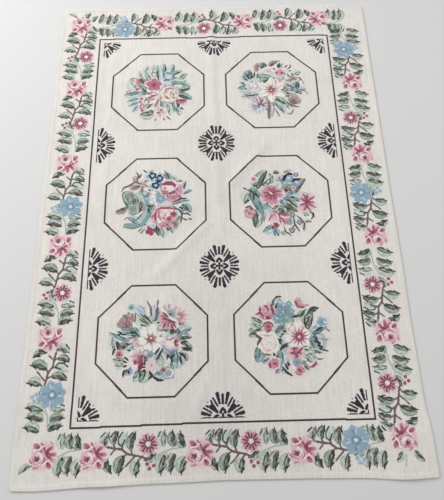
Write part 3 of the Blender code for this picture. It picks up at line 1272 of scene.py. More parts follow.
BOUQUET_FAR_RIGHT: tuple[Motif, ...] = (
    *wreath(20, LeafWool.HAZE, LeafWool.SAGE, LeafWool.PALE, LeafWool.OLIVE),
    *leaves(LeafWool.PALE, (-60, 52, 28, 66, 56), (-50, 76, 22, 56, 44), (100, 70, 130, 92, 32),
        (44, 110, 50, 138, 22), (50, -34, 98, -30, 26), (-100, -26, -132, -44, 24),
        (30, 10, 100, 10, 20), (52, -60, 70, -110, 26)),
    *leaves(LeafWool.TEAL, (-98, 6, -146, 0, 44), (96, -22, 146, -2, 32), (6, -72, 50, -122, 28),
        (-28, -48, -54, -38, 24), (-46, 52, -66, 78, 22)),
    *leaves(LeafWool.SAGE, (-100, 42, -128, 70, 15), (-118, 28, -136, 36, 18),
        (-90, -24, -112, -6, 18)),
    *leaves(LeafWool.GREY_GREEN, (4, -48, 60, -84, 26), (-60, -30, -116, -38, 22),
        (66, 20, 90, 4, 14)),
    *leaves(LeafWool.SPRUCE, (-94, 50, -96, 102, 42), (-42, 108, -28, 142, 30),
        (106, -8, 112, 36, 28), (-20, 52, 14, 56, 16)),
    *leaves(LeafWool.BLUE, (62, 0, 102, -14, 24), (-78, -42, -52, -48, 18)),
    *leaves(LeafWool.BROWN, (-6, 118, 34, 148, 24), (96, 4, 84, -4, 22)),
    *leaves(LeafWool.DARK, (36, 108, 42, 136, 15), (-34, 28, -14, 48, 10)),
    *lines(Yarn.CHARCOAL, 6.6, (-109, 84, -103, 66, -95, 52), (-70, 92, -72, 72, -80, 58),
        (-122, 22, -112, 25, -106, 16, -114, 12), (-24, 136, -16, 122, -28, 114),
        (12, 108, 21, 101), (62, 112, 76, 122), (78, 90, 92, 95),
        (72, 78, 76, 65, 88, 62, 96, 72, 88, 80), (58, -22, 76, -28), (104, -26, 116, -20),
        (118, -31, 127, -28), (102, 2, 108, 28), (118, 4, 118, 26)),
    *lines(Yarn.MOSS, 6, (-55, 86, -57, 66, -62, 56), (72, 100, 88, 112, 88, 128),
        (62, 22, 84, 10)),
    *lines(Yarn.TAUPE, 5, (20, 140, 35, 148, 46, 143), (1, -75, 5, -96, -6, -146),
        (139, -12, 153, -33)),
    *lines(Yarn.MOSS, 5, (8, -104, 25, -146), (20, -60, 50, -82)),
    *lines(Yarn.DEEP_TEAL, 5, (14, -90, 46, -130)),
    *lines(Yarn.TEAL, 9, (58, -130, 74, -133, 87, -108)),
    *lines(Yarn.SAGE, 4.4, (132, 50, 141, 15)),
    *lines(Yarn.TAUPE, 21, (-16, -60, -14, -100, -20, -152)),
    *lines(Yarn.SLATE, 6, (-18, -72, -16, -100, -22, -140)),
    *lines(Yarn.LILAC, 5, (-8, -66, -7, -100, -12, -132)),
    *petals(PetalWool.MOCHA, (-50, 108, -72, 96, 24), (-52, 114, -74, 124, 22),
        (-54, 116, -52, 140, 24), (92, 44, 70, 40, 22), (92, 46, 112, 58, 28), (88, 48, 98, 68, 24),
        (78, -82, 84, -40, 34), (84, -84, 120, -50, 36), (88, -78, 100, -36, 34),
        (50, 0, 66, 12, 18), (58, -12, 78, -6, 18)),
    *lines(Yarn.DUSTY, 7, (88, -46, 104, -42, 112, -54), (96, -60, 108, -66)),
    *lines(Yarn.PINE, 5, (80, -58, 86, -72), (92, -56, 96, -72)),
    *lines(Yarn.BARK, 8, (62, -72, 84, -100), (78, -84, 96, -96, 110, -98)),
    *lines(Yarn.BARK, 6, (112, 54, 124, 56, 128, 44, 118, 38), (66, 41, 74, 39), (40, -8, 56, -4)),
    *petals(PetalWool.SHELL, (-9, 86, -10, 120, 34), (36, 52, 30, 20, 26), (40, 50, 54, 24, 24),
        (34, 50, 22, 36, 18)),
    Bloom((41, 84), 27, 5, 20, PetalWool.PINK, (Yarn.PINK,), 17, 90, 0.5),
    *dabs((Yarn.WINE,), (25, 84, 5.4), (49, 82, 5.6)),
    *lines(Yarn.PINK, 5, (32, 50, 40, 30), (36, 20, 60, 30)),
    Bloom((-74, 14), 42, 7, 30, PetalWool.LILAC, (Yarn.WHITE, Yarn.LILAC), 14, 20),
    *lines(Yarn.LAVENDER, 4.6, (-72, 34, -58, 20, -62, 4, -74, -4), (-98, 26, -92, 6, -96, -8),
        (-48, 36, -42, 12, -46, -10), (-84, 40, -78, 30), (-84, -18, -70, -22)),
    *lines(Yarn.STEEL, 4.6, (-90, 36, -84, 44), (-52, 16, -54, 0), (-80, 14, -84, -4)),
    Bloom((-2, -6), 66, 6, 34, PetalWool.CREAM, (Yarn.WHITE, Yarn.SHELL), 20, 88, 0.46),
    *lines(Yarn.MIST, 5, (4, 12, 6, 40, 2, 54), (16, 2, 40, 12, 54, 26),
        (18, -14, 40, -20, 58, -34), (4, -22, 8, -44, -2, -64), (-16, -14, -34, -24, -58, -30),
        (-20, 4, -36, 14, -52, 30)),
    Bloom((-2, -6), 37, 11, 6.4, PetalWool.RUST, (Yarn.CRIMSON, Yarn.RUST), 7.5, 80, 0.32),
    *lines(Yarn.CRIMSON, 4.6, (-2, 4, -6, 14), (8, -2, 16, 4), (-10, -12, -18, -16),
        (0, -16, 2, -26)),
    *lines(Yarn.BUTTER, 4.6, (4, 2, 14, 14)),
    *dabs((Yarn.WHITE,), (-2, -9, 3.4)),
    Bloom((-62, -88), 43, 16, 10, PetalWool.ASTER, (Yarn.SKY, Yarn.SKY, Yarn.LAVENDER), 25, 8),
    Bloom((-60, -90), 34, 13, 8, PetalWool.SKY, (Yarn.DENIM, Yarn.SKY), 13, 20),
    *petals(PetalWool.LILAC, (-64, -96, -66, -130, 12), (-58, -94, -46, -120, 12),
        (-56, -88, -30, -104, 12), (-68, -86, -90, -58, 12)),
    *petals(PetalWool.PLUM, (-56, -88, -92, -38, 13), (-54, -86, -72, -34, 13),
        (-52, -84, -58, -34, 12), (-48, -84, -40, -40, 12), (-48, -88, -28, -60, 14),
        (-48, -92, -28, -92, 12)),
    *lines(Yarn.WHITE, 4.4, (-64, -80, -84, -42), (-56, -76, -64, -42), (-46, -78, -32, -62),
        (-48, -96, -32, -100)),
)

BOUQUET_MIDDLE_LEFT: tuple[Motif, ...] = (
    *wreath(8, LeafWool.HAZE, LeafWool.TEAL, LeafWool.PALE, LeafWool.HAZE),
    *leaves(LeafWool.SEA, (-126, 52, -74, -64, 62), (30, 128, 60, 96, 28), (96, -42, 126, -30, 16),
        (98, -60, 80, -80, 18)),
    *lines(Yarn.TEAL, 30, (-64, 46, -42, 16, -34, -22, -33, -56, -50, -84, -84, -96, -116, -94)),
    *lines(Yarn.AQUA, 15, (-78, 42, -52, 14, -43, -22, -42, -52, -56, -78, -88, -86)),
    *lines(Yarn.PINE, 5, (-50, -100, -86, -110, -124, -102), (-122, -72, -106, -60),
        (-18, -40, -20, -64)),
    *dabs((Yarn.SAGE, Yarn.SAGE, Yarn.SAGE, Yarn.CELERY), (-102, 28, 26), (-86, 2, 24),
        (-88, -26, 20)),
    *lines(Yarn.PINE, 5, (-122, 34, -112, 18, -104, -4), (-98, 44, -92, 26, -88, 6)),
    *lines(Yarn.MIST, 6.4, (-78, 50, -68, 30, -62, 10), (-66, 46, -54, 26, -48, 4)),
    *leaves(LeafWool.BLUE, (-14, 46, -48, 16, 28), (108, 34, 144, 52, 16)),
    *leaves(LeafWool.TEAL, (-106, -60, -56, -92, 32), (62, -6, 134, 8, 24),
        (54, -100, 70, -134, 22), (2, 52, 30, -2, 30)),
    *leaves(LeafWool.BROWN, (-110, -20, -158, -40, 26), (-56, 6, -60, -54, 26),
        (-84, 22, -78, -6, 28), (76, 92, 106, 92, 12)),
    *leaves(LeafWool.GREY_GREEN, (-46, 74, -14, 42, 16), (110, 56, 118, 92, 15)),
    *leaves(LeafWool.SPRUCE, (104, -8, 140, -46, 26), (4, -88, 16, -142, 36),
        (-10, -6, -22, -36, 26)),
    *leaves(LeafWool.PALE, (22, -106, 38, -150, 32), (60, 116, 88, 92, 24),
        (-34, 126, -12, 148, 20)),
    *lines(Yarn.WHITE, 6, (-82, -56, -64, -52, -50, -36), (-28, 50, -4, 36)),
    *lines(Yarn.BARK, 7, (-76, -74, -62, -62, -53, -50), (-70, 16, -68, 2), (-42, -92, -38, -96)),
    *petals(PetalWool.MOCHA, (-60, 80, -94, 120, 28), (-60, 74, -108, 64, 28),
        (-56, 74, -44, 42, 26)),
    *petals(PetalWool.PEACH, (-58, 80, -66, 122, 24), (-54, 80, -18, 92, 24),
        (-54, 74, -30, 58, 22)),
    *lines(Yarn.MOSS, 7, (-136, 52, -127, 69, -108, 76, -92, 88, -74, 94),
        (32, 142, 47, 120, 53, 96)),
    *lines(Yarn.MOSS, 6.6, (-81, 138, -70, 120, -76, 98), (-60, 129, -67, 110),
        (-53, 147, -38, 134), (-24, 66, -2, 42)),
    *lines(Yarn.BARK, 5.4, (-52, 88, -42, 98, -30, 96), (-46, 80, -26, 64), (-56, 66, -54, 44),
        (-100, 62, -70, 72)),
    *dabs((Yarn.SKY, Yarn.ICE), (-32, 116, 17), (-18, 72, 15), (4, 112, 13), (-16, 100, 12),
        (14, 122, 13)),
    *dabs((Yarn.ICE, Yarn.SKY, Yarn.NAVY, Yarn.NAVY), (-15, 120, 16), (-2, 76, 16)),
    *dabs((Yarn.ICE, Yarn.SKY, Yarn.ROYAL, Yarn.NAVY), (14, 108, 15)),
    *lines(Yarn.NAVY, 7.5, (-4, 98, 12, 92, 32, 97), (6, 120, 20, 122)),
    *dabs((Yarn.WHITE, Yarn.LILAC), (-12, 26, 15), (-14, 4, 13), (-2, 12, 14), (-10, 44, 12)),
    *dabs((Yarn.AQUA, Yarn.TEAL, Yarn.SKY), (19, 16, 21)),
    *petals(PetalWool.DUSTY, (70, 60, 108, 58, 42), (66, 58, 104, 30, 40), (58, 40, 62, -4, 38),
        (62, 46, 94, 6, 42), (54, 60, 16, 42, 32)),
    *petals(PetalWool.PINK, (56, 62, 22, 74, 30), (56, 64, 36, 98, 30), (60, 64, 68, 100, 34),
        (62, 60, 88, 84, 30)),
    *dabs((Yarn.WHITE, Yarn.SHELL, Yarn.SHELL), (54, 62, 19)),
    *lines(Yarn.CRIMSON, 19, (27, 80, 42, 85, 60, 84, 75, 75)),
    *lines(Yarn.WINE, 6, (34, 84, 48, 78, 56, 84), (66, 82, 74, 70)),
    *lines(Yarn.SHELL, 6, (20, 92, 38, 99, 62, 98, 80, 88)),
    *lines(Yarn.CRIMSON, 6.4, (24, 40, 38, 37, 58, 42, 74, 50, 86, 66),
        (73, 25, 92, 26, 100, 18, 88, 10, 66, 0)),
    *lines(Yarn.WINE, 6.4, (34, 66, 37, 58), (72, 74, 74, 66), (44, 34, 45, 24), (84, 6, 98, 14)),
    *lines(Yarn.ROSE, 9, (20, 52, 34, 46, 48, 50), (60, 24, 76, 14)),
    *lines(Yarn.BLUSH, 5.4, (56, 28, 66, 34, 80, 34), (84, 46, 92, 38)),
    *lines(Yarn.SHELL, 6, (82, 82, 82, 68, 72, 55, 54, 47)),
    *lines(Yarn.CHARCOAL, 7, (80, 6, 96, 14, 120, 15), (-34, -12, -19, -16), (-30, -26, -24, -44)),
    *lines(Yarn.CHARCOAL, 10, (92, -22, 106, -28)),
    *petals(PetalWool.DUSTY, (36, -54, 34, -14, 50), (32, -50, -8, -36, 46),
        (28, -58, -18, -78, 46), (34, -64, 6, -104, 40), (42, -66, 34, -116, 40),
        (48, -60, 72, -104, 36), (48, -50, 82, -70, 36), (44, -44, 74, -26, 40),
        (30, -44, 10, -18, 34)),
    *lines(Yarn.MAUVE, 4.6, (-6, -56, -16, -62), (2, -86, -6, -96), (26, -98, 24, -112),
        (12, -16, 8, -8)),
    *dabs((Yarn.SHELL, Yarn.SHELL, Yarn.BLUSH), (38, -52, 33)),
    *lines(Yarn.MOCHA, 5, (20, -44, 34, -40, 48, -42), (28, -66, 40, -58)),
    *petals(PetalWool.SHELL, (24, -60, 12, -88, 22), (48, -42, 68, -30, 22),
        (36, -58, 40, -30, 26)),
    *lines(Yarn.WHITE, 6, (16, -82, 26, -70), (44, -56, 52, -46), (8, -66, 14, -84)),
    *lines(Yarn.CRIMSON, 8.5, (2, -34, 20, -24, 48, -24, 74, -30), (3, -38, -2, -58, 3, -80)),
    *lines(Yarn.ROSE, 7, (16, -36, 12, -60, 24, -78), (38, -74, 28, -64), (22, -104, 42, -98)),
    *dabs((Yarn.CRIMSON, Yarn.ROSE), (53, -72, 12), (70, -54, 13)),
    *lines(Yarn.WINE, 5.5, (42, -92, 56, -108), (56, -54, 70, -44, 80, -52), (74, -34, 77, -26)),
    *dabs((Yarn.WINE, Yarn.CRIMSON, Yarn.CRIMSON), (-20, -110, 13), (-28, -124, 10), (-9, -120, 11),
        (-15, -132, 9)),
    *lines(Yarn.ROSE, 5, (-30, -106, -20, -100), (-12, -128, -4, -120)),
    *petals(PetalWool.MOCHA, (72, -92, 94, -90, 24), (74, -92, 82, -118, 20),
        (70, -96, 66, -76, 18)),
    *dabs((Yarn.AQUA, Yarn.ICE), (-8, -100, 12)),
    *lines(Yarn.CHARCOAL, 8, (6, -98, 4, -116), (46, -108, 51, -121)),
    *lines(Yarn.MOSS, 7.4, (66, -18, 92, -34, 103, -52, 102, -70, 98, -92)),
    *lines(Yarn.MOSS, 6.6, (104, -48, 123, -54), (104, -70, 124, -80), (120, -44, 135, -60),
        (126, -72, 143, -77)),
    *lines(Yarn.PINE, 6, (-66, -124, -50, -108), (-57, -132, -40, -112)),
)

BOUQUET_MIDDLE_RIGHT: tuple[Motif, ...] = (
    *wreath(14, LeafWool.PALE, LeafWool.HAZE, LeafWool.SAGE, LeafWool.HAZE),
    *leaves(LeafWool.TEAL, (-118, 52, -54, -96, 64), (-112, 58, -66, 16, 30), (12, 8, 96, -4, 38),
        (24, 16, 68, 46, 28), (-34, -110, -74, -140, 32), (-54, 2, -34, -34, 30)),
    *leaves(LeafWool.GREY_GREEN, (-92, 50, -46, 134, 44), (-98, -40, -98, -118, 46),
        (10, -10, 66, -52, 40)),
    *leaves(LeafWool.PALE, (-142, -8, -120, 44, 36), (-34, 70, -28, 118, 32),
        (86, -60, 112, -66, 28), (-10, 84, 16, 114, 30), (-4, -136, 14, -150, 22),
        (16, 60, 12, 96, 22), (20, 120, 54, 132, 18)),
    *leaves(LeafWool.SAGE, (-106, 62, -80, 86, 26), (90, -98, 118, -96, 14),
        (66, -44, 100, -48, 12), (84, -110, 84, -138, 13)),
    *leaves(LeafWool.BROWN, (18, 30, 40, 70, 32), (62, 28, 108, 92, 27), (-20, 120, 4, 124, 18),
        (36, 40, 62, 62, 26)),
    *leaves(LeafWool.BLUE, (-20, -120, -30, -154, 24), (2, 2, 18, -26, 26)),
    *dabs((Yarn.LAVENDER, Yarn.TEAL), (-92, 2, 15), (-60, -30, 12)),
    *dabs((Yarn.TAUPE, Yarn.LILAC), (4, 98, 12), (56, 50, 10)),
    *lines(Yarn.CHARCOAL, 7, (-127, 47, -108, 36, -88, 22, -73, 4), (-104, 32, -103, 0),
        (-142, -14, -119, 3)),
    *lines(Yarn.CHARCOAL, 6.4, (18, 0, 34, -3, 50, -22, 67, -37), (-2, -26, 16, -34, 41, -55),
        (-143, 57, -130, 48)),
    *lines(Yarn.CHARCOAL, 9, (40, 10, 58, 10), (-52, 108, -60, 92), (-98, 62, -88, 65),
        (20, 34, 30, 44)),
    *lines(Yarn.MOSS, 6, (-79, 58, -58, 74, -38, 94), (-36, 120, -32, 108), (-30, 90, -40, 70),
        (10, 80, 18, 96)),
    *lines(Yarn.SLATE, 6, (-114, 32, -116, 14)),
    *lines(Yarn.BARK, 7, (-8, 118, 4, 120), (0, 88, 14, 86), (70, 36, 88, 56)),
    *dabs((Yarn.ICE, Yarn.SKY, Yarn.SKY), (41, 96, 21), (72, 76, 18), (24, 74, 12)),
    *dabs((Yarn.ICE, Yarn.SLATE), (71, 110, 10)),
    *lines(Yarn.NAVY, 13, (20, 84, 25, 100, 34, 113)),
    *lines(Yarn.NAVY, 11, (34, 111, 45, 116, 57, 112), (54, 78, 62, 88, 75, 88, 89, 92)),
    *dabs((Yarn.ROSE, Yarn.PINK, Yarn.SHELL), (-99, 94, 15)),
    *dabs((Yarn.DUSTY, Yarn.PINK, Yarn.BLUSH, Yarn.DUSTY), (-121, -55, 23)),
    *dabs((Yarn.MAUVE,), (-124, -56, 4), (-108, -60, 4), (-116, -40, 4), (-132, -46, 3.6)),
    *lines(Yarn.BARK, 9, (-138, -32, -120, -26, -106, -40)),
    *petals(PetalWool.RIMMED, (-31, 26, -18, 72, 38), (-31, 26, 24, 30, 40), (-33, 26, -72, 56, 36),
        (-31, 24, -24, -32, 40), (-33, 24, -76, -2, 40)),
    *lines(Yarn.CRIMSON, 6, (-31, 26, -44, 32, -66, 34), (-31, 26, -14, 38, 12, 38),
        (-29, 30, -36, 48, -46, 60), (-30, 26, -18, 60), (-31, 24, -38, 0), (-30, 24, -10, 6),
        (-34, 24, -58, 12)),
    *lines(Yarn.ROSE, 4.6, (-26, 14, -24, -12), (-22, 28, 4, 22), (-40, 16, -56, -4),
        (-28, 40, -24, 58)),
    *lines(Yarn.WHITE, 6, (-42, 37, -28, 25)),
    *petals(PetalWool.PINK, (101, -8, 82, 30, 30), (105, -8, 132, 28, 32),
        (108, -12, 146, -24, 20, 0.5), (106, -16, 126, -54, 28), (100, -18, 70, -54, 34),
        (98, -10, 76, -2, 14)),
    *lines(Yarn.CRIMSON, 7.4, (103, -12, 80, 4), (103, -12, 122, 0, 138, 10), (103, -12, 132, -14),
        (103, -12, 120, -26, 138, -38), (103, -14, 102, -34, 88, -50),
        (103, -14, 106, -36, 118, -54), (102, -10, 101, 12, 90, 24), (103, -8, 110, 18),
        (100, -16, 78, -26)),
    *dabs((Yarn.WINE, Yarn.CRIMSON), (104, -12, 11)),
    Petal((-26, -40), (-60, -106), 26, PetalWool.SHELL),
    Petal((-24, -38), (-24, -116), 42, PetalWool.PINK),
    Petal((-4, -48), (14, -112), 36, PetalWool.ROSE),
    Petal((-4, -56), (36, -76), 24, PetalWool.DEEP),
    *leaves(LeafWool.SAGE, (-4, -24, -34, -44, 22)),
    *leaves(LeafWool.GREY_GREEN, (-2, -34, 22, -62, 24)),
    *lines(Yarn.MAUVE, 5.4, (-8, -46, 8, -64, 22, -66)),
    *lines(Yarn.WHITE, 6, (-20, -50, -12, -76, 4, -104), (-32, -56, -46, -92, -60, -102),
        (-6, -68, 14, -78, 34, -74)),
    *lines(Yarn.WHITE, 5.4, (-40, -98, -22, -92, -6, -100)),
    *lines(Yarn.CRIMSON, 6, (-24, -44, -8, -66, -2, -102), (-34, -62, -50, -92),
        (2, -78, 10, -94, 16, -104)),
    *dabs((Yarn.WINE, Yarn.CRIMSON, Yarn.ROSE), (-22, -109, 13)),
    *lines(Yarn.MOSS, 6.6, (-8, -38, -6, -48), (60, -70, 76, -85, 88, -105, 85, -128),
        (48, -74, 50, -106, 67, -139)),
    *lines(Yarn.MOSS, 6, (50, -108, 38, -126), (8, -116, 12, -136, 34, -154),
        (-20, -140, -14, -154)),
    *lines(Yarn.NAVY, 7, (-38, -114, -32, -126)),
    *dabs((Yarn.LAVENDER, Yarn.LAVENDER, Yarn.SLATE), (44, -66, 11), (30, -98, 11), (70, -98, 12),
        (38, -132, 12)),
    *lines(Yarn.CHARCOAL, 8, (112, -56, 124, -62, 125, -76, 116, -86)),
)

BOUQUET_NEAR_LEFT: tuple[Motif, ...] = (
    *wreath(4, LeafWool.HAZE, LeafWool.TEAL, LeafWool.PALE, LeafWool.SAGE),
    *leaves(LeafWool.BLUE, (-66, -98, -94, -122, 22), (-42, -12, -78, -32, 20)),
    *leaves(LeafWool.HAZE, (-7, 57, -72, 126, 38), (-40, 84, -62, 126, 30)),
    *leaves(LeafWool.SEA, (-46, 32, -114, 40, 30)),
    *leaves(LeafWool.TEAL, (-78, -8, -156, 26, 30), (84, 8, 138, 40, 34),
        (-48, -108, -62, -148, 24), (12, -40, -20, -74, 32), (84, -40, 88, -106, 54),
        (44, -118, 6, -128, 28), (66, -82, 78, -108, 22)),
    *leaves(LeafWool.PALE, (-16, 50, -60, 92, 24), (-132, -42, -146, 16, 20),
        (-96, -88, -134, -92, 22), (20, -50, 48, -88, 28)),
    *leaves(LeafWool.SAGE, (-12, 56, -52, 72, 16), (-98, -70, -138, -70, 24), (30, 28, 68, 38, 22),
        (-22, -108, -36, -152, 42)),
    *leaves(LeafWool.GREY_GREEN, (94, 2, 140, 4, 24), (106, -50, 124, -80, 18),
        (84, 50, 114, 56, 18), (104, -40, 142, -46, 12)),
    *leaves(LeafWool.SPRUCE, (100, -14, 142, -38, 18)),
    *leaves(LeafWool.BROWN, (-124, -32, -84, -16, 24), (-24, -58, -24, -92, 14),
        (-64, 64, -92, 100, 26)),
    *leaves(LeafWool.DARK, (-126, -6, -120, -36, 16)),
    *dabs((Yarn.TEAL, Yarn.AQUA), (-79, 118, 13)),
    *dabs((Yarn.LILAC, Yarn.ICE), (-46, 104, 14), (-34, 114, 9)),
    *lines(Yarn.SKY, 5.4, (-64, 116, -50, 104, -36, 96), (-50, 124, -36, 112, -26, 96),
        (-66, 98, -52, 88)),
    *lines(Yarn.PINE, 5.4, (-48, 96, -36, 84, -24, 72), (-78, 122, -84, 112)),
    *lines(Yarn.TAUPE, 8, (-23, 141, -19, 131, -9, 116, -7, 84), (17, 143, 15, 122)),
    *lines(Yarn.BARK, 8, (-8, 112, -6, 86), (15, 122, 14, 96, 13, 69)),
    *lines(Yarn.SKY, 14, (2, 124, 4, 70)),
    *lines(Yarn.ICE, 8, (1, 127, 2, 76)),
    *lines(Yarn.CHARCOAL, 7, (-32, 88, -19, 75, -5, 57), (-43, 53, -31, 47, -24, 48),
        (9, 62, 17, 57, 26, 60)),
    *lines(Yarn.PINE, 5.5, (-30, 64, -15, 49), (-38, 76, -24, 62)),
    *petals(PetalWool.MOCHA, (-84, 56, -86, 98, 24, 0.5), (-80, 58, -68, 94, 22, 0.5)),
    *petals(PetalWool.HUSK, (-98, 44, -114, 80, 30, 0.5), (-92, 44, -82, 82, 30),
        (-96, 42, -100, 92, 30, 0.5), (-98, 46, -128, 60, 24), (-94, 46, -74, 58, 26)),
    *lines(Yarn.TAUPE, 5.4, (-112, 52, -118, 68), (-104, 48, -106, 70, -108, 90),
        (-88, 48, -84, 66), (-86, 90, -88, 100)),
    *lines(Yarn.MAUVE, 5, (-96, 46, -96, 68), (-120, 56, -104, 46), (-78, 60, -86, 48),
        (-74, 96, -74, 80)),
    *lines(Yarn.DUSTY, 6.4, (-122, 64, -112, 52, -98, 48), (-110, 80, -100, 62), (-92, 80, -90, 58),
        (-80, 74, -78, 56)),
    *lines(Yarn.BARK, 5, (-110, 90, -96, 80, -86, 60), (-66, 96, -62, 76)),
    *lines(Yarn.WHITE, 5.5, (-74, 64, -58, 48, -44, 34)),
    *lines(Yarn.CHARCOAL, 7.6, (-127, 30, -115, 26, -106, 19, -94, 17), (-126, 18, -114, 19),
        (-92, 24, -62, 25, -45, 10)),
    *lines(Yarn.CHARCOAL, 6.4, (-76, 15, -60, 12), (-95, -14, -80, -17), (-89, -36, -74, -40)),
    *lines(Yarn.BARK, 5.4, (-86, 6, -60, 6)),
    *petals(PetalWool.PINK, (-52, 0, -82, -6, 17), (-46, -8, -62, -34, 22)),
    *petals(PetalWool.WHITE, (-6, 0, 10, 64, 34, 0.5), (-6, 2, -46, 46, 34, 0.52),
        (-8, 0, -56, -8, 34, 0.52), (-6, -4, -24, -50, 34, 0.52), (0, -4, 24, -52, 36, 0.55),
        (0, 2, 50, 16, 36, 0.5)),
    *petals(PetalWool.CREAM, (-10, 8, -32, 30, 12), (-14, -2, -38, -8, 10), (2, -10, 12, -34, 12),
        (-2, 10, 4, 40, 12)),
    *lines(Yarn.LILAC, 5, (14, 50, 16, 20, 26, 8), (-20, 40, -14, 16), (-44, 12, -20, 4),
        (-36, -26, -14, -10)),
    *lines(Yarn.MIST, 5, (2, -46, -2, -16), (38, -22, 10, -6), (50, 8, 22, 6)),
    Bloom((-6, 0), 26, 7, 10, PetalWool.RUST, (Yarn.RUST, Yarn.RUST), 12, 20, 0.4),
    *dabs((Yarn.WHITE,), (-5, 4, 4)),
    *petals(PetalWool.SHELL, (-46, -56, -42, -28, 26), (-50, -58, -80, -48, 30),
        (-52, -64, -82, -76, 28), (-50, -66, -60, -100, 30)),
    *lines(Yarn.PINK, 6, (-76, -58, -54, -60), (-42, -34, -44, -54), (-72, -88, -62, -74)),
    *dabs((Yarn.CRIMSON, Yarn.CRIMSON, Yarn.ROSE), (-58, -80, 9)),
    *lines(Yarn.CRIMSON, 19, (-36, -58, -42, -72, -38, -88, -46, -112)),
    *lines(Yarn.ROSE, 5, (-46, -64, -46, -76), (-40, -98, -38, -86)),
    *lines(Yarn.WHITE, 9, (-78, -86, -66, -82), (-70, -100, -58, -96)),
    *lines(Yarn.PINK, 5, (-66, -60, -56, -52, -50, -56), (-68, -72, -58, -70)),
    *lines(Yarn.WINE, 9, (-36, -84, -40, -98, -44, -118)),
    *dabs((Yarn.CRIMSON, Yarn.ROSE, Yarn.PINK), (-116, -51, 14)),
    *lines(Yarn.CHARCOAL, 8, (-136, -37, -138, -52), (-136, -37, -128, -34), (-97, -61, -82, -74),
        (-101, -76, -88, -80)),
    *lines(Yarn.CHARCOAL, 7.6, (-100, -95, -88, -91), (-99, -130, -97, -110, -86, -105),
        (-80, -108, -78, -120)),
    *lines(Yarn.CHARCOAL, 6.6, (-34, -85, -21, -89), (-34, -97, -20, -99)),
    *lines(Yarn.CHARCOAL, 10.5, (-8, -112, 1, -128, -10, -138), (-32, -112, -22, -108),
        (5, -131, 24, -143, 41, -143)),
    *dabs((Yarn.LILAC, Yarn.LAVENDER), (-23, -48, 13), (48, -38, 15), (27, 40, 12)),
    *lines(Yarn.CHARCOAL, 8.6, (26, -32, 10, -54), (36, -37, 26, -56, 20, -71), (56, -55, 52, -71)),
    *dabs((Yarn.PINK, Yarn.BLUSH, Yarn.SHELL, Yarn.BLUSH, Yarn.SHELL), (-2, -92, 22)),
    *dabs((Yarn.MIST, Yarn.CELERY), (30, -84, 13)),
    *dabs((Yarn.WHITE, Yarn.MIST), (50, -92, 9)),
    *dabs((Yarn.LAVENDER, Yarn.LAVENDER, Yarn.ICE, Yarn.LAVENDER), (58, -120, 23)),
    *lines(Yarn.WHITE, 6, (64, -106, 74, -114, 72, -126, 62, -134)),
    *dabs((Yarn.BARK, Yarn.MOCHA), (40, -108, 11)),
    Bloom((96, 82), 33, 9, 11, PetalWool.CORAL, (Yarn.RUST, Yarn.DUSTY), 9, 8, 0.5),
    Bloom((62, 88), 40, 10, 12, PetalWool.THISTLE, (Yarn.SLATE, Yarn.LAVENDER), 12, 20, 0.5),
    *lines(Yarn.DUSTY, 5.4, (44, 106, 38, 124), (56, 110, 56, 128), (78, 104, 86, 114),
        (88, 68, 104, 52), (98, 60, 116, 44)),
    *lines(Yarn.BLUSH, 5, (34, 112, 44, 126), (104, 98, 116, 88), (112, 76, 124, 66),
        (110, 62, 126, 52)),
    *petals(PetalWool.DUSTY, (57, 72, 24, 94, 32), (56, 70, 22, 66, 32), (58, 68, 38, 36, 28),
        (62, 66, 66, 34, 28), (64, 66, 84, 44, 22)),
    *lines(Yarn.LILAC, 12, (24, 104, 42, 96, 54, 80, 70, 68, 82, 60, 88, 42)),
    *lines(Yarn.WHITE, 7.5, (24, 107, 44, 98, 56, 80, 78, 67, 88, 58, 91, 44)),
    *lines(Yarn.WINE, 7, (36, 96, 56, 76), (58, 70, 72, 58, 82, 38), (46, 56, 37, 40),
        (66, 50, 72, 34), (34, 74, 50, 70)),
    *lines(Yarn.MAUVE, 5, (30, 84, 44, 78), (56, 56, 54, 42), (70, 64, 84, 56)),
    *dabs((Yarn.CHARCOAL, Yarn.BARK), (70, 26, 11)),
    *dabs((Yarn.TAUPE, Yarn.SLATE), (88, 26, 10)),
    *petals(PetalWool.PEACH, (24, 8, 46, 24, 14)),
    *dabs((Yarn.SHELL, Yarn.WHITE, Yarn.BUTTER, Yarn.SHELL, Yarn.BLUSH), (66, -15, 27)),
    *petals(PetalWool.RED, (76, -18, 92, 0, 16), (78, -18, 92, -28, 14)),
    *lines(Yarn.WINE, 5, (78, -14, 88, -8)),
    *lines(Yarn.SKY, 11, (44, -36, 64, -46, 90, -38)),
    *lines(Yarn.DENIM, 6, (48, -2, 64, -4, 80, 6), (62, -48, 84, -44)),
    *lines(Yarn.CHARCOAL, 9, (101, -14, 122, -11), (103, -32, 122, -37, 138, -38),
        (79, -55, 68, -68, 69, -84), (97, -62, 103, -88), (95, -50, 111, -63)),
)

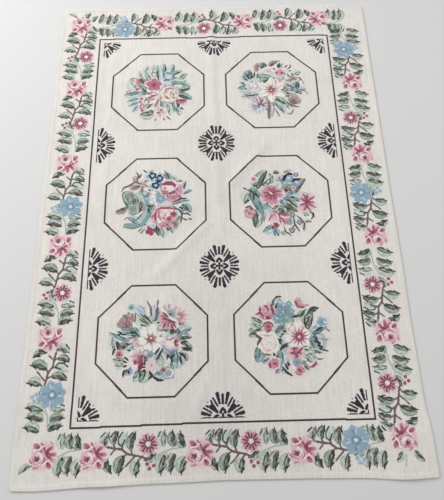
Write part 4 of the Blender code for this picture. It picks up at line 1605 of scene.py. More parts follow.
BOUQUET_NEAR_RIGHT: tuple[Motif, ...] = (
    *wreath(10, LeafWool.HAZE, LeafWool.PALE, LeafWool.TEAL, LeafWool.SAGE),
    *leaves(LeafWool.TEAL, (-42, 104, -28, 138, 26), (-54, 12, -12, 50, 36),
        (-36, -50, -32, -108, 48), (78, 16, 104, -66, 60)),
    *leaves(LeafWool.SAGE, (-94, 46, -136, 68, 28), (-104, 34, -146, 20, 30), (60, 22, 84, 84, 40),
        (66, -56, 112, -62, 18)),
    *leaves(LeafWool.PALE, (-96, 30, -140, 44, 24), (-40, -98, -30, -134, 18),
        (46, -66, 76, -94, 26), (56, -68, 82, -62, 18)),
    *leaves(LeafWool.SEA, (-110, -34, -120, -92, 40)),
    *leaves(LeafWool.BLUE, (-76, -78, -104, -92, 18), (-44, -110, -60, -132, 16),
        (78, 6, 132, 30, 30)),
    *leaves(LeafWool.GREY_GREEN, (72, 80, 110, 100, 22), (-102, 26, -146, 2, 26),
        (40, -104, 60, -122, 16), (36, 66, 58, 88, 22)),
    *lines(Yarn.CHARCOAL, 8, (-46, 138, -38, 144, -22, 144), (-48, 98, -39, 116),
        (-58, -58, -60, -70)),
    *lines(Yarn.SLATE, 9, (-54, 106, -53, 126, -46, 138)),
    *lines(Yarn.SKY, 42, (-22, 114, -24, 90, -38, 56)),
    *lines(Yarn.TEAL, 38, (6, 108, 2, 74, -18, 54)),
    *dabs((Yarn.ICE, Yarn.SKY), (-27, 124, 10), (-14, 114, 9), (-42, 64, 9), (-18, 86, 8),
        (14, 104, 9)),
    *dabs((Yarn.AQUA, Yarn.TEAL), (4, 118, 10), (12, 86, 10), (-6, 66, 10), (-52, 54, 9),
        (2, 56, 8)),
    *dabs((Yarn.LAVENDER, Yarn.DENIM), (-30, 98, 10), (-28, 76, 10), (-6, 100, 9), (-34, 50, 8),
        (6, 76, 8)),
    *lines(Yarn.DENIM, 5, (-36, 112, -20, 104), (-14, 96, -10, 78), (-44, 76, -34, 66),
        (-16, 60, -24, 46)),
    *petals(PetalWool.ROSE, (-72, 62, -86, 114, 26), (-70, 62, -68, 124, 30),
        (-68, 62, -54, 112, 26)),
    *petals(PetalWool.DUSTY, (-72, 60, -80, 98, 20), (-66, 60, -62, 94, 18)),
    *lines(Yarn.CRIMSON, 8.5, (-61, 118, -58, 100, -55, 86, -51, 74), (-87, 112, -76, 108)),
    *lines(Yarn.WINE, 5, (-60, 116, -57, 98, -54, 82), (-76, 108, -72, 92)),
    *dabs((Yarn.WINE, Yarn.CRIMSON), (-75, 65, 9)),
    *lines(Yarn.PINK, 12, (-106, 76, -90, 66), (-101, 108, -101, 98)),
    *lines(Yarn.CRIMSON, 9.5, (-117, 80, -101, 86, -88, 72), (-101, 88, -101, 102)),
    *lines(Yarn.ROSE, 6, (-98, 70, -86, 60)),
    *lines(Yarn.WHITE, 6.5, (-98, 38, -92, 52, -76, 58, -60, 54, -50, 36)),
    *dabs((Yarn.CRIMSON, Yarn.ROSE, Yarn.PINK, Yarn.SHELL), (-75, 34, 22)),
    *lines(Yarn.CRIMSON, 7.5, (-95, 34, -89, 46, -75, 51, -62, 45, -57, 35),
        (-84, 22, -74, 18, -64, 24)),
    *lines(Yarn.MOSS, 10, (-7, 25, -15, 18, -19, 7, -27, -3, -36, -12)),
    *lines(Yarn.CHARCOAL, 6, (-5, 26, -18, 26), (-12, 18, -26, 16), (-18, 8, -32, 6),
        (-24, 0, -38, -2), (-36, -14, -46, -12)),
    *lines(Yarn.PINE, 5, (-52, 12, -34, 26, -20, 38)),
    *petals(PetalWool.CREAM, (-70, -14, -118, 14, 32, 0.5), (-74, -20, -56, 14, 38, 0.5),
        (-78, -24, -116, -36, 38, 0.5), (-76, -28, -88, -64, 42), (-74, -28, -54, -62, 40, 0.5),
        (-72, -22, -40, -28, 34)),
    *dabs((Yarn.MIST, Yarn.WHITE, Yarn.SHELL, Yarn.WHITE, Yarn.SHELL), (-74, -22, 27)),
    *lines(Yarn.BLUSH, 5, (-104, 6, -84, 2, -62, 4), (-100, -26, -94, -46, -78, -56),
        (-52, -12, -52, -34, -62, -50)),
    *lines(Yarn.PINK, 3.8, (-92, 2, -72, 0), (-84, -48, -70, -52), (-104, -20, -100, -34)),
    *lines(Yarn.MOSS, 10.5, (-124, 8, -104, -8, -117, -30)),
    *lines(Yarn.BARK, 5, (-122, 10, -108, -2), (-112, -14, -118, -28)),
    *lines(Yarn.TAUPE, 8, (-104, -62, -72, -66)),
    *lines(Yarn.CHARCOAL, 8, (-40, -17, -33, -31), (-62, -60, -60, -70), (16, 57, 19, 43)),
    *lines(Yarn.SLATE, 14, (-37, -49, -27, -38, -7, -28)),
    *lines(Yarn.CHARCOAL, 8, (-38, -52, -28, -40, -8, -30)),
    *petals(PetalWool.WHITE, (32, -4, 30, 66, 36, 0.5), (30, -4, -12, 46, 34, 0.5),
        (28, -6, -32, -8, 34, 0.52), (30, -8, -4, -44, 34, 0.5), (34, -8, 30, -58, 32, 0.5),
        (36, -8, 64, -46, 32, 0.5), (36, -4, 76, 6, 32, 0.5), (34, 0, 60, 40, 32, 0.5)),
    *petals(PetalWool.SHELL, (24, -8, -2, -20, 18), (38, 6, 44, 38, 14), (44, -4, 62, 2, 12),
        (22, 4, -2, 24, 14)),
    *lines(Yarn.MIST, 6, (14, 48, 22, 18), (54, 40, 42, 12), (-22, 10, 8, 2), (-10, -32, 14, -16),
        (48, -48, 38, -22)),
    *lines(Yarn.LILAC, 4.4, (16, -52, 26, -24), (70, -18, 48, -10), (-12, 30, 10, 12)),
    *lines(Yarn.PINK, 5, (-4, 14, -2, 30), (-14, 18, -18, 32), (4, 30, 14, 44), (6, -22, -10, -26),
        (44, 34, 52, 22)),
    Bloom((33, -5), 35, 13, 6.8, PetalWool.RED, (Yarn.CRIMSON, Yarn.CRIMSON), 15, 8, 0.36),
    *dabs((Yarn.WHITE, Yarn.BLUSH), (32, -5, 6)),
    *lines(Yarn.CHARCOAL, 10, (15, 67, 24, 69, 37, 73)),
    *dabs((Yarn.WHITE, Yarn.ICE), (25, 101, 11)),
    *petals(PetalWool.ROSE, (34, 100, 42, 142, 26), (38, 98, 54, 122, 20)),
    *lines(Yarn.CRIMSON, 9, (28, 125, 34, 108), (47, 101, 60, 104)),
    *lines(Yarn.PINK, 8, (58, 108, 76, 111)),
    *lines(Yarn.MOSS, 7, (38, 68, 56, 88, 67, 94), (66, 72, 75, 90, 92, 99, 110, 97)),
    *lines(Yarn.CHARCOAL, 7, (59, 70, 55, 51, 59, 28, 68, 21), (76, 92, 90, 100, 108, 98)),
    *lines(Yarn.MOSS, 5.2, (60, 58, 74, 68), (58, 44, 76, 56), (62, 32, 80, 44), (62, 70, 72, 78)),
    *dabs((Yarn.DENIM, Yarn.SKY, Yarn.SKY, Yarn.ICE), (117, 46, 22)),
    *lines(Yarn.WHITE, 6, (124, 48, 134, 42), (100, 36, 106, 34)),
    *lines(Yarn.CHARCOAL, 9, (93, 14, 104, 22, 118, 27)),
    *lines(Yarn.SLATE, 5, (130, 24, 142, 10), (84, 2, 106, 6)),
    *lines(Yarn.LAVENDER, 10, (105, -11, 120, -18, 134, -17)),
    *lines(Yarn.CHARCOAL, 8.6,
        (81, -5, 95, -13, 87, -21, 103, -29, 98, -37, 111, -43, 103, -49, 130, -58)),
    *lines(Yarn.BARK, 5.4, (44, -38, 58, -40)),
    *petals(PetalWool.PINK, (16, -60, -16, -48, 26), (16, -62, -8, -84, 28), (16, -64, 16, -98, 28),
        (18, -62, 42, -84, 28), (18, -58, 44, -44, 26), (14, -56, 12, -38, 22)),
    *lines(Yarn.CRIMSON, 8.4, (2, -46, 24, -45), (-4, -61, 14, -62, 10, -50),
        (42, -43, 29, -57, 35, -66), (22, -67, 14, -84)),
    *lines(Yarn.WINE, 5, (30, -56, 16, -66), (20, -70, 14, -82), (-2, -62, 10, -64)),
    *lines(Yarn.CHARCOAL, 9, (-15, -93, -9, -106), (-31, -111, -22, -126, -2, -140),
        (-23, -99, -15, -118)),
    *dabs((Yarn.ROSE, Yarn.PINK, Yarn.PINK, Yarn.SHELL), (-62, -96, 24), (24, -122, 24)),
    *lines(Yarn.CRIMSON, 9.5, (-79, -92, -76, -112), (-62, -100, -54, -94), (20, -116, 32, -128),
        (-4, -106, -2, -116)),
    *lines(Yarn.ROSE, 5.4, (-66, -84, -52, -84), (-54, -108, -46, -98), (12, -134, 30, -138),
        (36, -112, 42, -122)),
    *dabs((Yarn.WHITE, Yarn.SHELL), (4, -112, 13)),
    *dabs((Yarn.DENIM, Yarn.SKY, Yarn.LAVENDER), (18, -94, 16)),
    *dabs((Yarn.TAUPE, Yarn.LAVENDER), (42, -97, 10)),
    *lines(Yarn.SLATE, 5, (54, -88, 68, -96), (85, -81, 98, -86, 111, -82)),
    *dabs((Yarn.PINK, Yarn.SHELL), (84, -102, 11)),
    *lines(Yarn.CRIMSON, 8.5, (62, -112, 73, -109, 82, -100, 85, -92)),
    *dabs((Yarn.TEAL, Yarn.AQUA), (80, -78, 9)),
)

BOUQUETS: tuple[tuple[str, tuple[Motif, ...]], ...] = (
    ("bouquet_far_left", BOUQUET_FAR_LEFT),
    ("bouquet_far_right", BOUQUET_FAR_RIGHT),
    ("bouquet_middle_left", BOUQUET_MIDDLE_LEFT),
    ("bouquet_middle_right", BOUQUET_MIDDLE_RIGHT),
    ("bouquet_near_left", BOUQUET_NEAR_LEFT),
    ("bouquet_near_right", BOUQUET_NEAR_RIGHT),
)


def ease(value: np.ndarray) -> np.ndarray:
    """Turn 0..1 into a soft step with level ends."""
    value = np.clip(value, 0.0, 1.0)
    return value * value * (3.0 - 2.0 * value)


def bell(value: np.ndarray) -> np.ndarray:
    """A soft hump: 1 at 0, and nothing from 1 outwards."""
    return 0.5 + 0.5 * np.cos(np.pi * np.minimum(value, 1.0))


@dataclass(frozen=True)
class UnevenEdge:
    """An edge of the rug as rows of place along it and inset, in metres."""

    rows: tuple[Point, ...]

    def inset(self, place: np.ndarray) -> np.ndarray:
        """Read the inset at places along the edge, with soft turns between rows.

        Args:
            place: Places along the edge.

        Returns:
            The inset at each place.
        """
        places, insets = np.array(self.rows).T
        step = np.clip(np.searchsorted(places, place) - 1, 0, len(places) - 2)
        share = ease((place - places[step]) / (places[step + 1] - places[step]))
        return insets[step] + (insets[step + 1] - insets[step]) * share


@dataclass(frozen=True)
class Crease:
    """A soft straight ridge in the cloth, in metres."""

    start: Point
    end: Point
    half_width: float
    height: float
    fade: float = 1.5

    def rise(self, x: np.ndarray, y: np.ndarray) -> np.ndarray:
        """Height of the ridge at points; it fades out at both ends.

        Args:
            x: The points' places to the right.
            y: Their places to the far end.

        Returns:
            The ridge's height at each point.
        """
        run_x = self.end[0] - self.start[0]
        run_y = self.end[1] - self.start[1]
        length = math.hypot(run_x, run_y)
        along = ((x - self.start[0]) * run_x + (y - self.start[1]) * run_y) / length
        across = np.abs((x - self.start[0]) * run_y - (y - self.start[1]) * run_x) / length
        end_fade = np.minimum(along, length - along) / (self.fade * self.half_width)
        return self.height * bell(across / self.half_width) * ease(end_fade)


@dataclass(frozen=True)
class LiftedRim:
    """A round place where the rim lies a little off the floor, in metres."""

    centre: Point
    reach: float
    height: float

    def rise(self, x: np.ndarray, y: np.ndarray) -> np.ndarray:
        """Height of the lift at points."""
        far = np.hypot(x - self.centre[0], y - self.centre[1])
        return self.height * bell(far / self.reach)


@dataclass(frozen=True)
class RugShape:
    """The shape in which the cloth lies, in metres.

    It is the shape of the frame's rug. The main creases are a little narrower and
    higher, so that they show in soft light, and four faint ones are added.

    Attributes:
        half_width: Half the largest rectangle's width.
        half_length: Half its length.
        cloth: Thickness of the cloth.
        hem_width: Width of the turned hem.
        hem_extra: How much thicker the cloth is there.
        hem_step: Over what width it thins out again.
        seam_reach: Reach of the groove where the hem is stitched down.
        seam_depth: Depth of that groove.
        corner_radius: Radius of the corners.
        left, right, near, far: The four uneven edges.
        creases: The creases and the lifted places of the rim.
    """

    half_width: float = 0.6945
    half_length: float = 1.0108
    cloth: float = 0.0030
    hem_width: float = 0.0145
    hem_extra: float = 0.0018
    hem_step: float = 0.0040
    seam_reach: float = 0.0022
    seam_depth: float = 0.0004
    corner_radius: float = 0.009
    left: UnevenEdge = UnevenEdge((
        (-1.0108, 0.0015), (-0.760, 0.0), (-0.507, 0.0010), (-0.254, 0.0010), (0.0, 0.0022),
        (0.254, 0.0045), (0.507, 0.0058), (0.760, 0.0034), (1.0108, 0.0012),
    ))
    right: UnevenEdge = UnevenEdge((
        (-1.0108, 0.0), (-0.900, 0.0005), (-0.760, 0.0110), (-0.507, 0.0133),
        (-0.254, 0.0108), (0.0, 0.0118), (0.254, 0.0102), (0.507, 0.0090), (0.760, 0.0072),
        (1.0108, 0.0060),
    ))
    near: UnevenEdge = UnevenEdge((
        (-0.6945, 0.0020), (-0.620, 0.0), (-0.425, 0.0080), (-0.200, 0.0130),
        (0.020, 0.0178), (0.255, 0.0162), (0.425, 0.0135), (0.595, 0.0050), (0.6945, 0.0085),
    ))
    far: UnevenEdge = UnevenEdge((
        (-0.6945, 0.0095), (-0.590, 0.0), (-0.340, 0.0020), (-0.068, 0.0), (0.206, 0.0015),
        (0.411, 0.0), (0.548, 0.0008), (0.610, 0.0060), (0.6945, 0.0105),
    ))
    creases: tuple[Crease | LiftedRim, ...] = (
        Crease((-0.017, 1.060), (-0.006, 0.300), 0.033, 0.0062),
        Crease((-0.006, 0.330), (0.008, -0.180), 0.033, 0.0056),
        Crease((0.000, -0.420), (-0.010, -0.780), 0.036, 0.0032),
        Crease((0.228, 0.300), (0.036, 0.061), 0.034, 0.0060),
        Crease((-0.024, -0.065), (-0.262, -0.317), 0.034, 0.0062),
        Crease((-0.504, 0.860), (-0.508, 0.400), 0.040, 0.0030),
        Crease((-0.449, 0.250), (-0.452, -0.070), 0.038, 0.0035),
        Crease((0.337, -0.130), (0.340, -0.320), 0.036, 0.0025),
        Crease((0.321, -0.337), (0.432, -0.580), 0.034, 0.0036),
        Crease((-0.017, -0.640), (-0.118, -0.810), 0.034, 0.0044),
        Crease((-0.541, -0.735), (-0.455, -0.867), 0.046, 0.0040),
        Crease((0.480, 0.220), (0.480, -0.390), 0.036, 0.0015),
        Crease((0.036, -0.502), (0.109, -0.469), 0.030, 0.0015),
        Crease((-0.130, -0.708), (-0.216, -0.801), 0.034, 0.0020),
        Crease((-0.445, 0.860), (-0.445, 0.400), 0.036, 0.0025),
        LiftedRim((-0.590, 1.030), 0.130, 0.0085),
        LiftedRim((0.137, 1.030), 0.080, 0.0035),
        LiftedRim((0.343, 1.030), 0.090, 0.0065),
        LiftedRim((0.548, 1.030), 0.085, 0.0055),
        LiftedRim((-0.400, -1.030), 0.110, 0.0040),
        LiftedRim((0.610, -1.010), 0.110, 0.0040),
    )

    def corner_inset(self, place: np.ndarray, half_size: float) -> np.ndarray:
        """The extra inset that rounds a corner off."""
        share = (half_size - np.abs(place)) / self.corner_radius
        return (1.0 - math.sqrt(0.5)) * self.corner_radius * np.clip(1.0 - share, 0.0, 1.0) ** 2

    def on_rug(self, x: np.ndarray, y: np.ndarray) -> tuple[np.ndarray, np.ndarray]:
        """Move points of the largest rectangle to their places in the uneven outline.

        Args:
            x: The points' places to the right.
            y: Their places to the far end.

        Returns:
            The same two, inside the outline.
        """
        side_round = self.corner_inset(y, self.half_length)
        end_round = self.corner_inset(x, self.half_width)
        left = -self.half_width + self.left.inset(y) + side_round
        right = self.half_width - self.right.inset(y) - side_round
        near = -self.half_length + self.near.inset(x) + end_round
        far = self.half_length - self.far.inset(x) - end_round
        across = (x + self.half_width) / (2.0 * self.half_width)
        along = (y + self.half_length) / (2.0 * self.half_length)
        return left + (right - left) * across, near + (far - near) * along

    def lift(self, x: np.ndarray, y: np.ndarray) -> np.ndarray:
        """Height of the cloth's underside over the floor."""
        rises = [crease.rise(x, y) for crease in self.creases]
        return np.maximum.reduce(rises) + RIPPLE.rise(x, y)

    def thickness(self, rim_distance: np.ndarray) -> np.ndarray:
        """Thickness of the cloth, which is greater over the turned hem.

        Args:
            rim_distance: Distances from the rim.

        Returns:
            The thickness at each of them.
        """
        over_hem = 1.0 - ease((rim_distance - self.hem_width) / self.hem_step)
        stitched = bell(np.abs(rim_distance - self.hem_width) / self.seam_reach)
        return self.cloth + self.hem_extra * over_hem - self.seam_depth * stitched


@dataclass(frozen=True)
class Ripple:
    """A faint unevenness all over the cloth, from a few crossing waves, in metres."""

    height: float = 0.0006
    waves: tuple[tuple[float, float, float], ...] = (
        (17.0, 5.0, 0.3), (-9.0, 23.0, 1.9), (31.0, -13.0, 4.1), (44.0, 9.0, 2.6),
        (-21.0, -38.0, 5.2), (57.0, 31.0, 0.9),
    )

    def rise(self, x: np.ndarray, y: np.ndarray) -> np.ndarray:
        """Height of the unevenness at points, never below the floor."""
        total = sum(np.sin(x * across + y * along + start) for across, along, start in self.waves)
        return self.height * (0.5 + 0.5 * total / len(self.waves))


RIPPLE = Ripple()
SHAPE = RugShape()


def new_piece(name: str, points: np.ndarray, faces: np.ndarray) -> bpy.types.Object:
    """Make a piece from quads and put it in the scene.

    Args:
        name: The piece's name.
        points: One row of x, y and z for each point, in metres.
        faces: One row of four point numbers for each face.

    Returns:
        The piece.
    """
    mesh = bpy.data.meshes.new(name)
    mesh.vertices.add(len(points))
    mesh.vertices.foreach_set("co", points.astype(np.float32).ravel())
    mesh.loops.add(faces.size)
    mesh.loops.foreach_set("vertex_index", faces.astype(np.int32).ravel())
    mesh.polygons.add(len(faces))
    mesh.polygons.foreach_set("loop_start", np.arange(0, faces.size, 4, dtype=np.int32))
    mesh.update(calc_edges=True)
    mesh.validate()
    mesh.shade_smooth()
    piece = bpy.data.objects.new(name, mesh)
    bpy.context.collection.objects.link(piece)
    return piece


@dataclass(frozen=True)
class Cloth:
    """The rug's cloth: one closed sheet with its edges turned under.

    Attributes:
        spacing: Distance between the lines that the skins are built on, in metres.
        rim_lines: Distances of the lines beside the rim from it, in metres.
        fold_steps: Angles of the points round the folded rim, in degrees.
        cut_margin: What is turned under on each side, in metres.
        hem_slack: How closely a line has to lie on the rim or the hem to count, in metres.
    """

    spacing: float = 0.0086
    rim_lines: tuple[float, ...] = (0.0013, 0.0040, 0.0080, 0.0120, 0.0145, 0.0165, 0.0190, 0.0230)
    fold_steps: tuple[float, ...] = (-55.0, -20.0, 20.0, 55.0)
    cut_margin: float = 0.0150
    hem_slack: float = 0.0001

    def lines(self, half_size: float) -> np.ndarray:
        """Places of the lines across one direction.

        Args:
            half_size: Half the rug's size in that direction.

        Returns:
            The places in rising order.
        """
        inner = half_size - self.rim_lines[-1]
        count = math.ceil(2.0 * inner / self.spacing)
        rim = half_size - np.array(self.rim_lines)
        even = np.linspace(-inner, inner, count + 1)[1:-1]
        return np.sort(np.concatenate((-rim, even, rim)))

    def to_rim(self, place: np.ndarray, half_size: float) -> np.ndarray:
        """Move places on the outermost lines out to the rim."""
        outermost = np.abs(place) > half_size - self.rim_lines[0] - self.hem_slack
        return np.where(outermost, np.sign(place) * half_size, place)

    def fold(self, low: np.ndarray, high: np.ndarray, rim: np.ndarray) -> list[np.ndarray]:
        """Make the rings of points round the folded rim, from the underside upwards.

        Args:
            low: One row of x, y and z for each border point of the underside.
            high: The same for the upper skin.
            rim: One row of x and y for the place of the rim beside each of them.

        Returns:
            One array of points for each ring.
        """
        half = 0.5 * (high[:, 2] - low[:, 2])
        rings = []
        for angle in self.fold_steps:
            out = math.cos(math.radians(angle))
            up = math.sin(math.radians(angle))
            flat = low[:, :2] + (rim - low[:, :2]) * out
            rings.append(np.column_stack((flat, low[:, 2] + half + half * up)))
        return rings

    def build(self) -> bpy.types.Object:
        """Build the upper skin, the underside and the folded rim between them.

        Returns:
            The piece, with the bare canvas of its underside in the second material.
        """
        columns = self.lines(SHAPE.half_width)
        rows = self.lines(SHAPE.half_length)
        place_x, place_y = np.meshgrid(columns, rows)
        x, y = SHAPE.on_rug(place_x, place_y)
        rim_distance = np.minimum(
            SHAPE.half_width - np.abs(place_x), SHAPE.half_length - np.abs(place_y)
        )
        under = SHAPE.lift(x, y)
        upper = under + SHAPE.thickness(rim_distance)
        low, high = (np.stack((x, y, z), -1).reshape(-1, 3) for z in (under, upper))
        count = x.size
        grid = np.arange(count).reshape(x.shape)
        skin = np.stack((grid[:-1, :-1], grid[:-1, 1:], grid[1:, 1:], grid[1:, :-1]), -1)
        skin = skin.reshape(-1, 4)
        border = np.concatenate((grid[0, :-1], grid[:-1, -1], grid[-1, :0:-1], grid[:0:-1, 0]))
        rim = SHAPE.on_rug(
            self.to_rim(place_x.ravel()[border], SHAPE.half_width),
            self.to_rim(place_y.ravel()[border], SHAPE.half_length),
        )
        fold = self.fold(low[border], high[border], np.stack(rim, -1))
        around = np.arange(len(border))
        rings = [2 * count + step * len(border) + around for step in range(len(fold))]
        rings = [border, *rings, border + count]
        sides = [
            np.stack((inner, np.roll(inner, -1), np.roll(outer, -1), outer), -1)
            for inner, outer in zip(rings, rings[1:])
        ]
        faces = np.concatenate([skin + count, skin[:, ::-1], *sides])
        piece = new_piece("rug_cloth", np.concatenate([low, high, *fold]), faces)
        bare = np.zeros(len(faces), np.int32)
        inside = rim_distance.ravel()[skin].min(axis=1) >= SHAPE.hem_width - self.hem_slack
        bare[len(skin) : 2 * len(skin)] = inside
        piece.data.polygons.foreach_set("material_index", bare)
        return piece


@dataclass(frozen=True)
class StitchedPiece:
    """Coloured stitching that lies on the cloth, one face for each stitch.

    Attributes:
        name: The piece's name.
        chart: Its finished chart.
        bands: How many lengths its picture area is folded into, side by side.
        upright: Whether those lengths run away from the viewer.
    """

    name: str
    chart: StitchChart
    bands: int = 1
    upright: bool = True

    def build(self) -> bpy.types.Object:
        """Build the stitches with their yarn colours.

        Returns:
            The piece, with its colours and its flat map.
        """
        rows, columns = np.nonzero(self.chart.yarns)
        width = self.chart.yarns.shape[1] + 1
        corner = rows * width + columns
        corners = np.stack((corner, corner + 1, corner + width + 1, corner + width), -1)
        used, faces = np.unique(corners, return_inverse=True)
        x = (self.chart.first_column + used % width) * STITCH * MM
        y = (self.chart.first_row + used // width) * STITCH * MM
        z = SHAPE.lift(x, y) + SHAPE.cloth + STITCHES_STAND_OUT
        piece = new_piece(self.name, np.stack((x, y, z), -1), faces.reshape(-1, 4))
        self.colour(piece, self.chart.yarns[rows, columns])
        self.lay_out(piece, rows, columns)
        return piece

    def lay_out(self, piece: bpy.types.Object, rows: np.ndarray, columns: np.ndarray) -> None:
        """Lay the stitches out flat on a square map, folded into a few bands.

        Args:
            piece: The piece whose map is made.
            rows: The chart's row of every stitch.
            columns: The chart's column of every stitch.
        """
        sizes = self.chart.yarns.shape
        steps = ((0, 0), (0, 1), (1, 1), (1, 0))
        along, across = rows, columns
        if not self.upright:
            sizes = sizes[::-1]
            steps = tuple(step[::-1] for step in steps)
            along, across = columns, rows
        short = sizes[1] + MAP_GAP
        length = math.ceil(sizes[0] / self.bands)
        band = along // length
        flat = np.stack((along - band * length, across + band * short), -1)
        corners = flat[:, None, :] + np.array(steps)[None, :, :]
        size = max(length, self.bands * short) + MAP_GAP
        places = (corners + 0.5 * MAP_GAP) / size
        layer = piece.data.uv_layers.new(name="OFBake")
        layer.data.foreach_set("uv", places.astype(np.float32).ravel())

    def colour(self, piece: bpy.types.Object, yarns: np.ndarray) -> None:
        """Give every stitch the colour of its yarn.

        Args:
            piece: The piece that is coloured.
            yarns: The yarn's number for every stitch.
        """
        palette = np.array([(0.0, 0.0, 0.0, 1.0)] + [yarn.colour for yarn in Yarn])
        colours = piece.data.attributes.new(YARN_COLOUR, "FLOAT_COLOR", "FACE")
        colours.data.foreach_set("color", palette[yarns].astype(np.float32).ravel())


Wire = bpy.types.NodeSocket | float | tuple[float, ...]


class NodeBench:
    """Adds nodes to one node tree and wires them up."""

    def __init__(self, tree: bpy.types.NodeTree) -> None:
        """Work on the given tree."""
        self.tree = tree

    def add(self, kind: str, **settings: object) -> bpy.types.Node:
        """Add a node of a kind and set its properties.

        Args:
            kind: The node's type.
            settings: Its properties by name.

        Returns:
            The node.
        """
        node = self.tree.nodes.new(kind)
        for name, value in settings.items():
            setattr(node, name, value)
        return node

    def feed(self, target: bpy.types.NodeSocket, source: Wire) -> None:
        """Link a socket to a source, or set its value.

        Args:
            target: The socket that is fed.
            source: Another socket, or a value.
        """
        if isinstance(source, bpy.types.NodeSocket):
            self.tree.links.new(source, target)
        else:
            target.default_value = source

    def feed_all(self, node: bpy.types.Node, values: Sequence[Wire]) -> bpy.types.NodeSocket:
        """Feed a node's inputs in order and return its first output.

        Args:
            node: The node that is fed.
            values: A socket or a value for each input.

        Returns:
            The first output.
        """
        for socket, value in zip(node.inputs, values):
            self.feed(socket, value)
        return node.outputs[0]

    def axes(self, vector: Wire) -> tuple[bpy.types.NodeSocket, ...]:
        """Split a vector and return its x, y and z.

        Args:
            vector: The vector.

        Returns:
            Its three parts.
        """
        node = self.add("ShaderNodeSeparateXYZ")
        self.feed(node.inputs[0], vector)
        return tuple(node.outputs)

    def math(self, operation: str, *values: Wire) -> bpy.types.NodeSocket:
        """Add a Math node and return its result."""
        return self.feed_all(self.add("ShaderNodeMath", operation=operation), values)

    def vector(self, operation: str, *values: Wire) -> bpy.types.NodeSocket:
        """Add a Vector Math node and return its vector."""
        return self.feed_all(self.add("ShaderNodeVectorMath", operation=operation), values)

    def noise(self, place: Wire, scale: float, detail: float = 2.0) -> bpy.types.NodeSocket:
        """Add a noise texture and return its value from 0 to 1.

        Args:
            place: Where the noise is read.
            scale: Its scale.
            detail: Its detail.

        Returns:
            The value.
        """
        node = self.add("ShaderNodeTexNoise")
        self.feed(node.inputs["Vector"], place)
        node.inputs["Scale"].default_value = scale
        node.inputs["Detail"].default_value = detail
        return node.outputs["Fac"]

    def span(self, value: Wire, low: Wire, high: Wire) -> bpy.types.NodeSocket:
        """Map a value from 0..1 onto low..high.

        Args:
            value: The value.
            low: What 0 becomes.
            high: What 1 becomes.

        Returns:
            The result.
        """
        node = self.add("ShaderNodeMapRange")
        for name, source in (("Value", value), ("To Min", low), ("To Max", high)):
            self.feed(node.inputs[name], source)
        return node.outputs["Result"]

    def mix(
        self, share: Wire, first: Wire, second: Wire, blend: str = "MIX"
    ) -> bpy.types.NodeSocket:
        """Mix two colours and return the result.

        Args:
            share: How much of the second colour there is.
            first: The first colour.
            second: The second colour.
            blend: How they are blended.

        Returns:
            The result.
        """
        node = self.add("ShaderNodeMix", data_type="RGBA", blend_type=blend)
        self.feed(node.inputs[0], share)
        self.feed(node.inputs[6], first)
        self.feed(node.inputs[7], second)
        return node.outputs[2]


class NodeGroup:
    """A shader node group with named inputs and outputs."""

    def __init__(self, name: str) -> None:
        """Start an empty group.

        Args:
            name: The group's name.
        """
        self.tree = bpy.data.node_groups.new(name, "ShaderNodeTree")
        self.bench = NodeBench(self.tree)
        self.start = self.bench.add("NodeGroupInput")
        self.end = self.bench.add("NodeGroupOutput")

    def entry(self, name: str, kind: str, value: float | None = None) -> bpy.types.NodeSocket:
        """Add a named input and return the socket that carries it inside.

        Args:
            name: The input's name.
            kind: Float, Vector or Color.
            value: Its value where none is given.

        Returns:
            The socket.
        """
        socket = self.tree.interface.new_socket(
            name=name, in_out="INPUT", socket_type=f"NodeSocket{kind}"
        )
        if value is not None:
            socket.default_value = value
        return self.start.outputs[name]

    def result(self, name: str, kind: str, source: bpy.types.NodeSocket) -> None:
        """Add a named output fed by a socket.

        Args:
            name: The output's name.
            kind: Float, Vector or Color.
            source: What feeds it.
        """
        self.tree.interface.new_socket(
            name=name, in_out="OUTPUT", socket_type=f"NodeSocket{kind}"
        )
        self.bench.feed(self.end.inputs[name], source)


@dataclass(frozen=True)
class TentStitch:
    """Relief of slanted stitches, one in each square of the canvas.

    Attributes:
        wander_scale: Scale of the noise that moves the stitches.
        unevenness: How far the stitches wander unless said otherwise, in metres.
        crown: How much lower a stitch is at its square's corners, and its mean height.
    """

    wander_scale: float = 260.0
    unevenness: float = 0.0004
    crown: Point = (-0.18, 0.64)

    def build(self) -> None:
        """Build the group, with the height and a random value for each stitch."""
        group = NodeGroup("tent_stitch")
        bench = group.bench
        place = group.entry("Place", "Vector")
        unevenness = group.entry("Unevenness", "Float", self.unevenness)
        wander = bench.add("ShaderNodeTexNoise")
        bench.feed(wander.inputs["Vector"], place)
        wander.inputs["Scale"].default_value = self.wander_scale
        wander.inputs["Detail"].default_value = 1.0
        centred = bench.vector("SUBTRACT", wander.outputs["Color"], (0.5, 0.5, 0.5))
        scaled = bench.add("ShaderNodeVectorMath", operation="SCALE")
        bench.feed(scaled.inputs[0], centred)
        bench.feed(scaled.inputs["Scale"], unevenness)
        x, y, _ = bench.axes(bench.vector("ADD", place, scaled.outputs[0]))
        pitch = STITCH * MM
        turns = 2.0 * math.pi / pitch
        across = bench.math("MULTIPLY", x, turns)
        along = bench.math("MULTIPLY", y, turns)
        slant = bench.math("COSINE", bench.math("SUBTRACT", across, along))
        ridge = bench.math("MULTIPLY_ADD", slant, 0.5, 0.5)
        corners = bench.math("ADD", bench.math("COSINE", across), bench.math("COSINE", along))
        height = bench.math("MULTIPLY", ridge, bench.math("MULTIPLY_ADD", corners, *self.crown))
        square = bench.vector("MULTIPLY", place, (1.0 / pitch, 1.0 / pitch, 0.0))
        lot = bench.add("ShaderNodeTexWhiteNoise", noise_dimensions="3D")
        bench.feed(lot.inputs["Vector"], bench.vector("FLOOR", square))
        group.result("Height", "Float", height)
        group.result("Lot", "Float", lot.outputs["Value"])


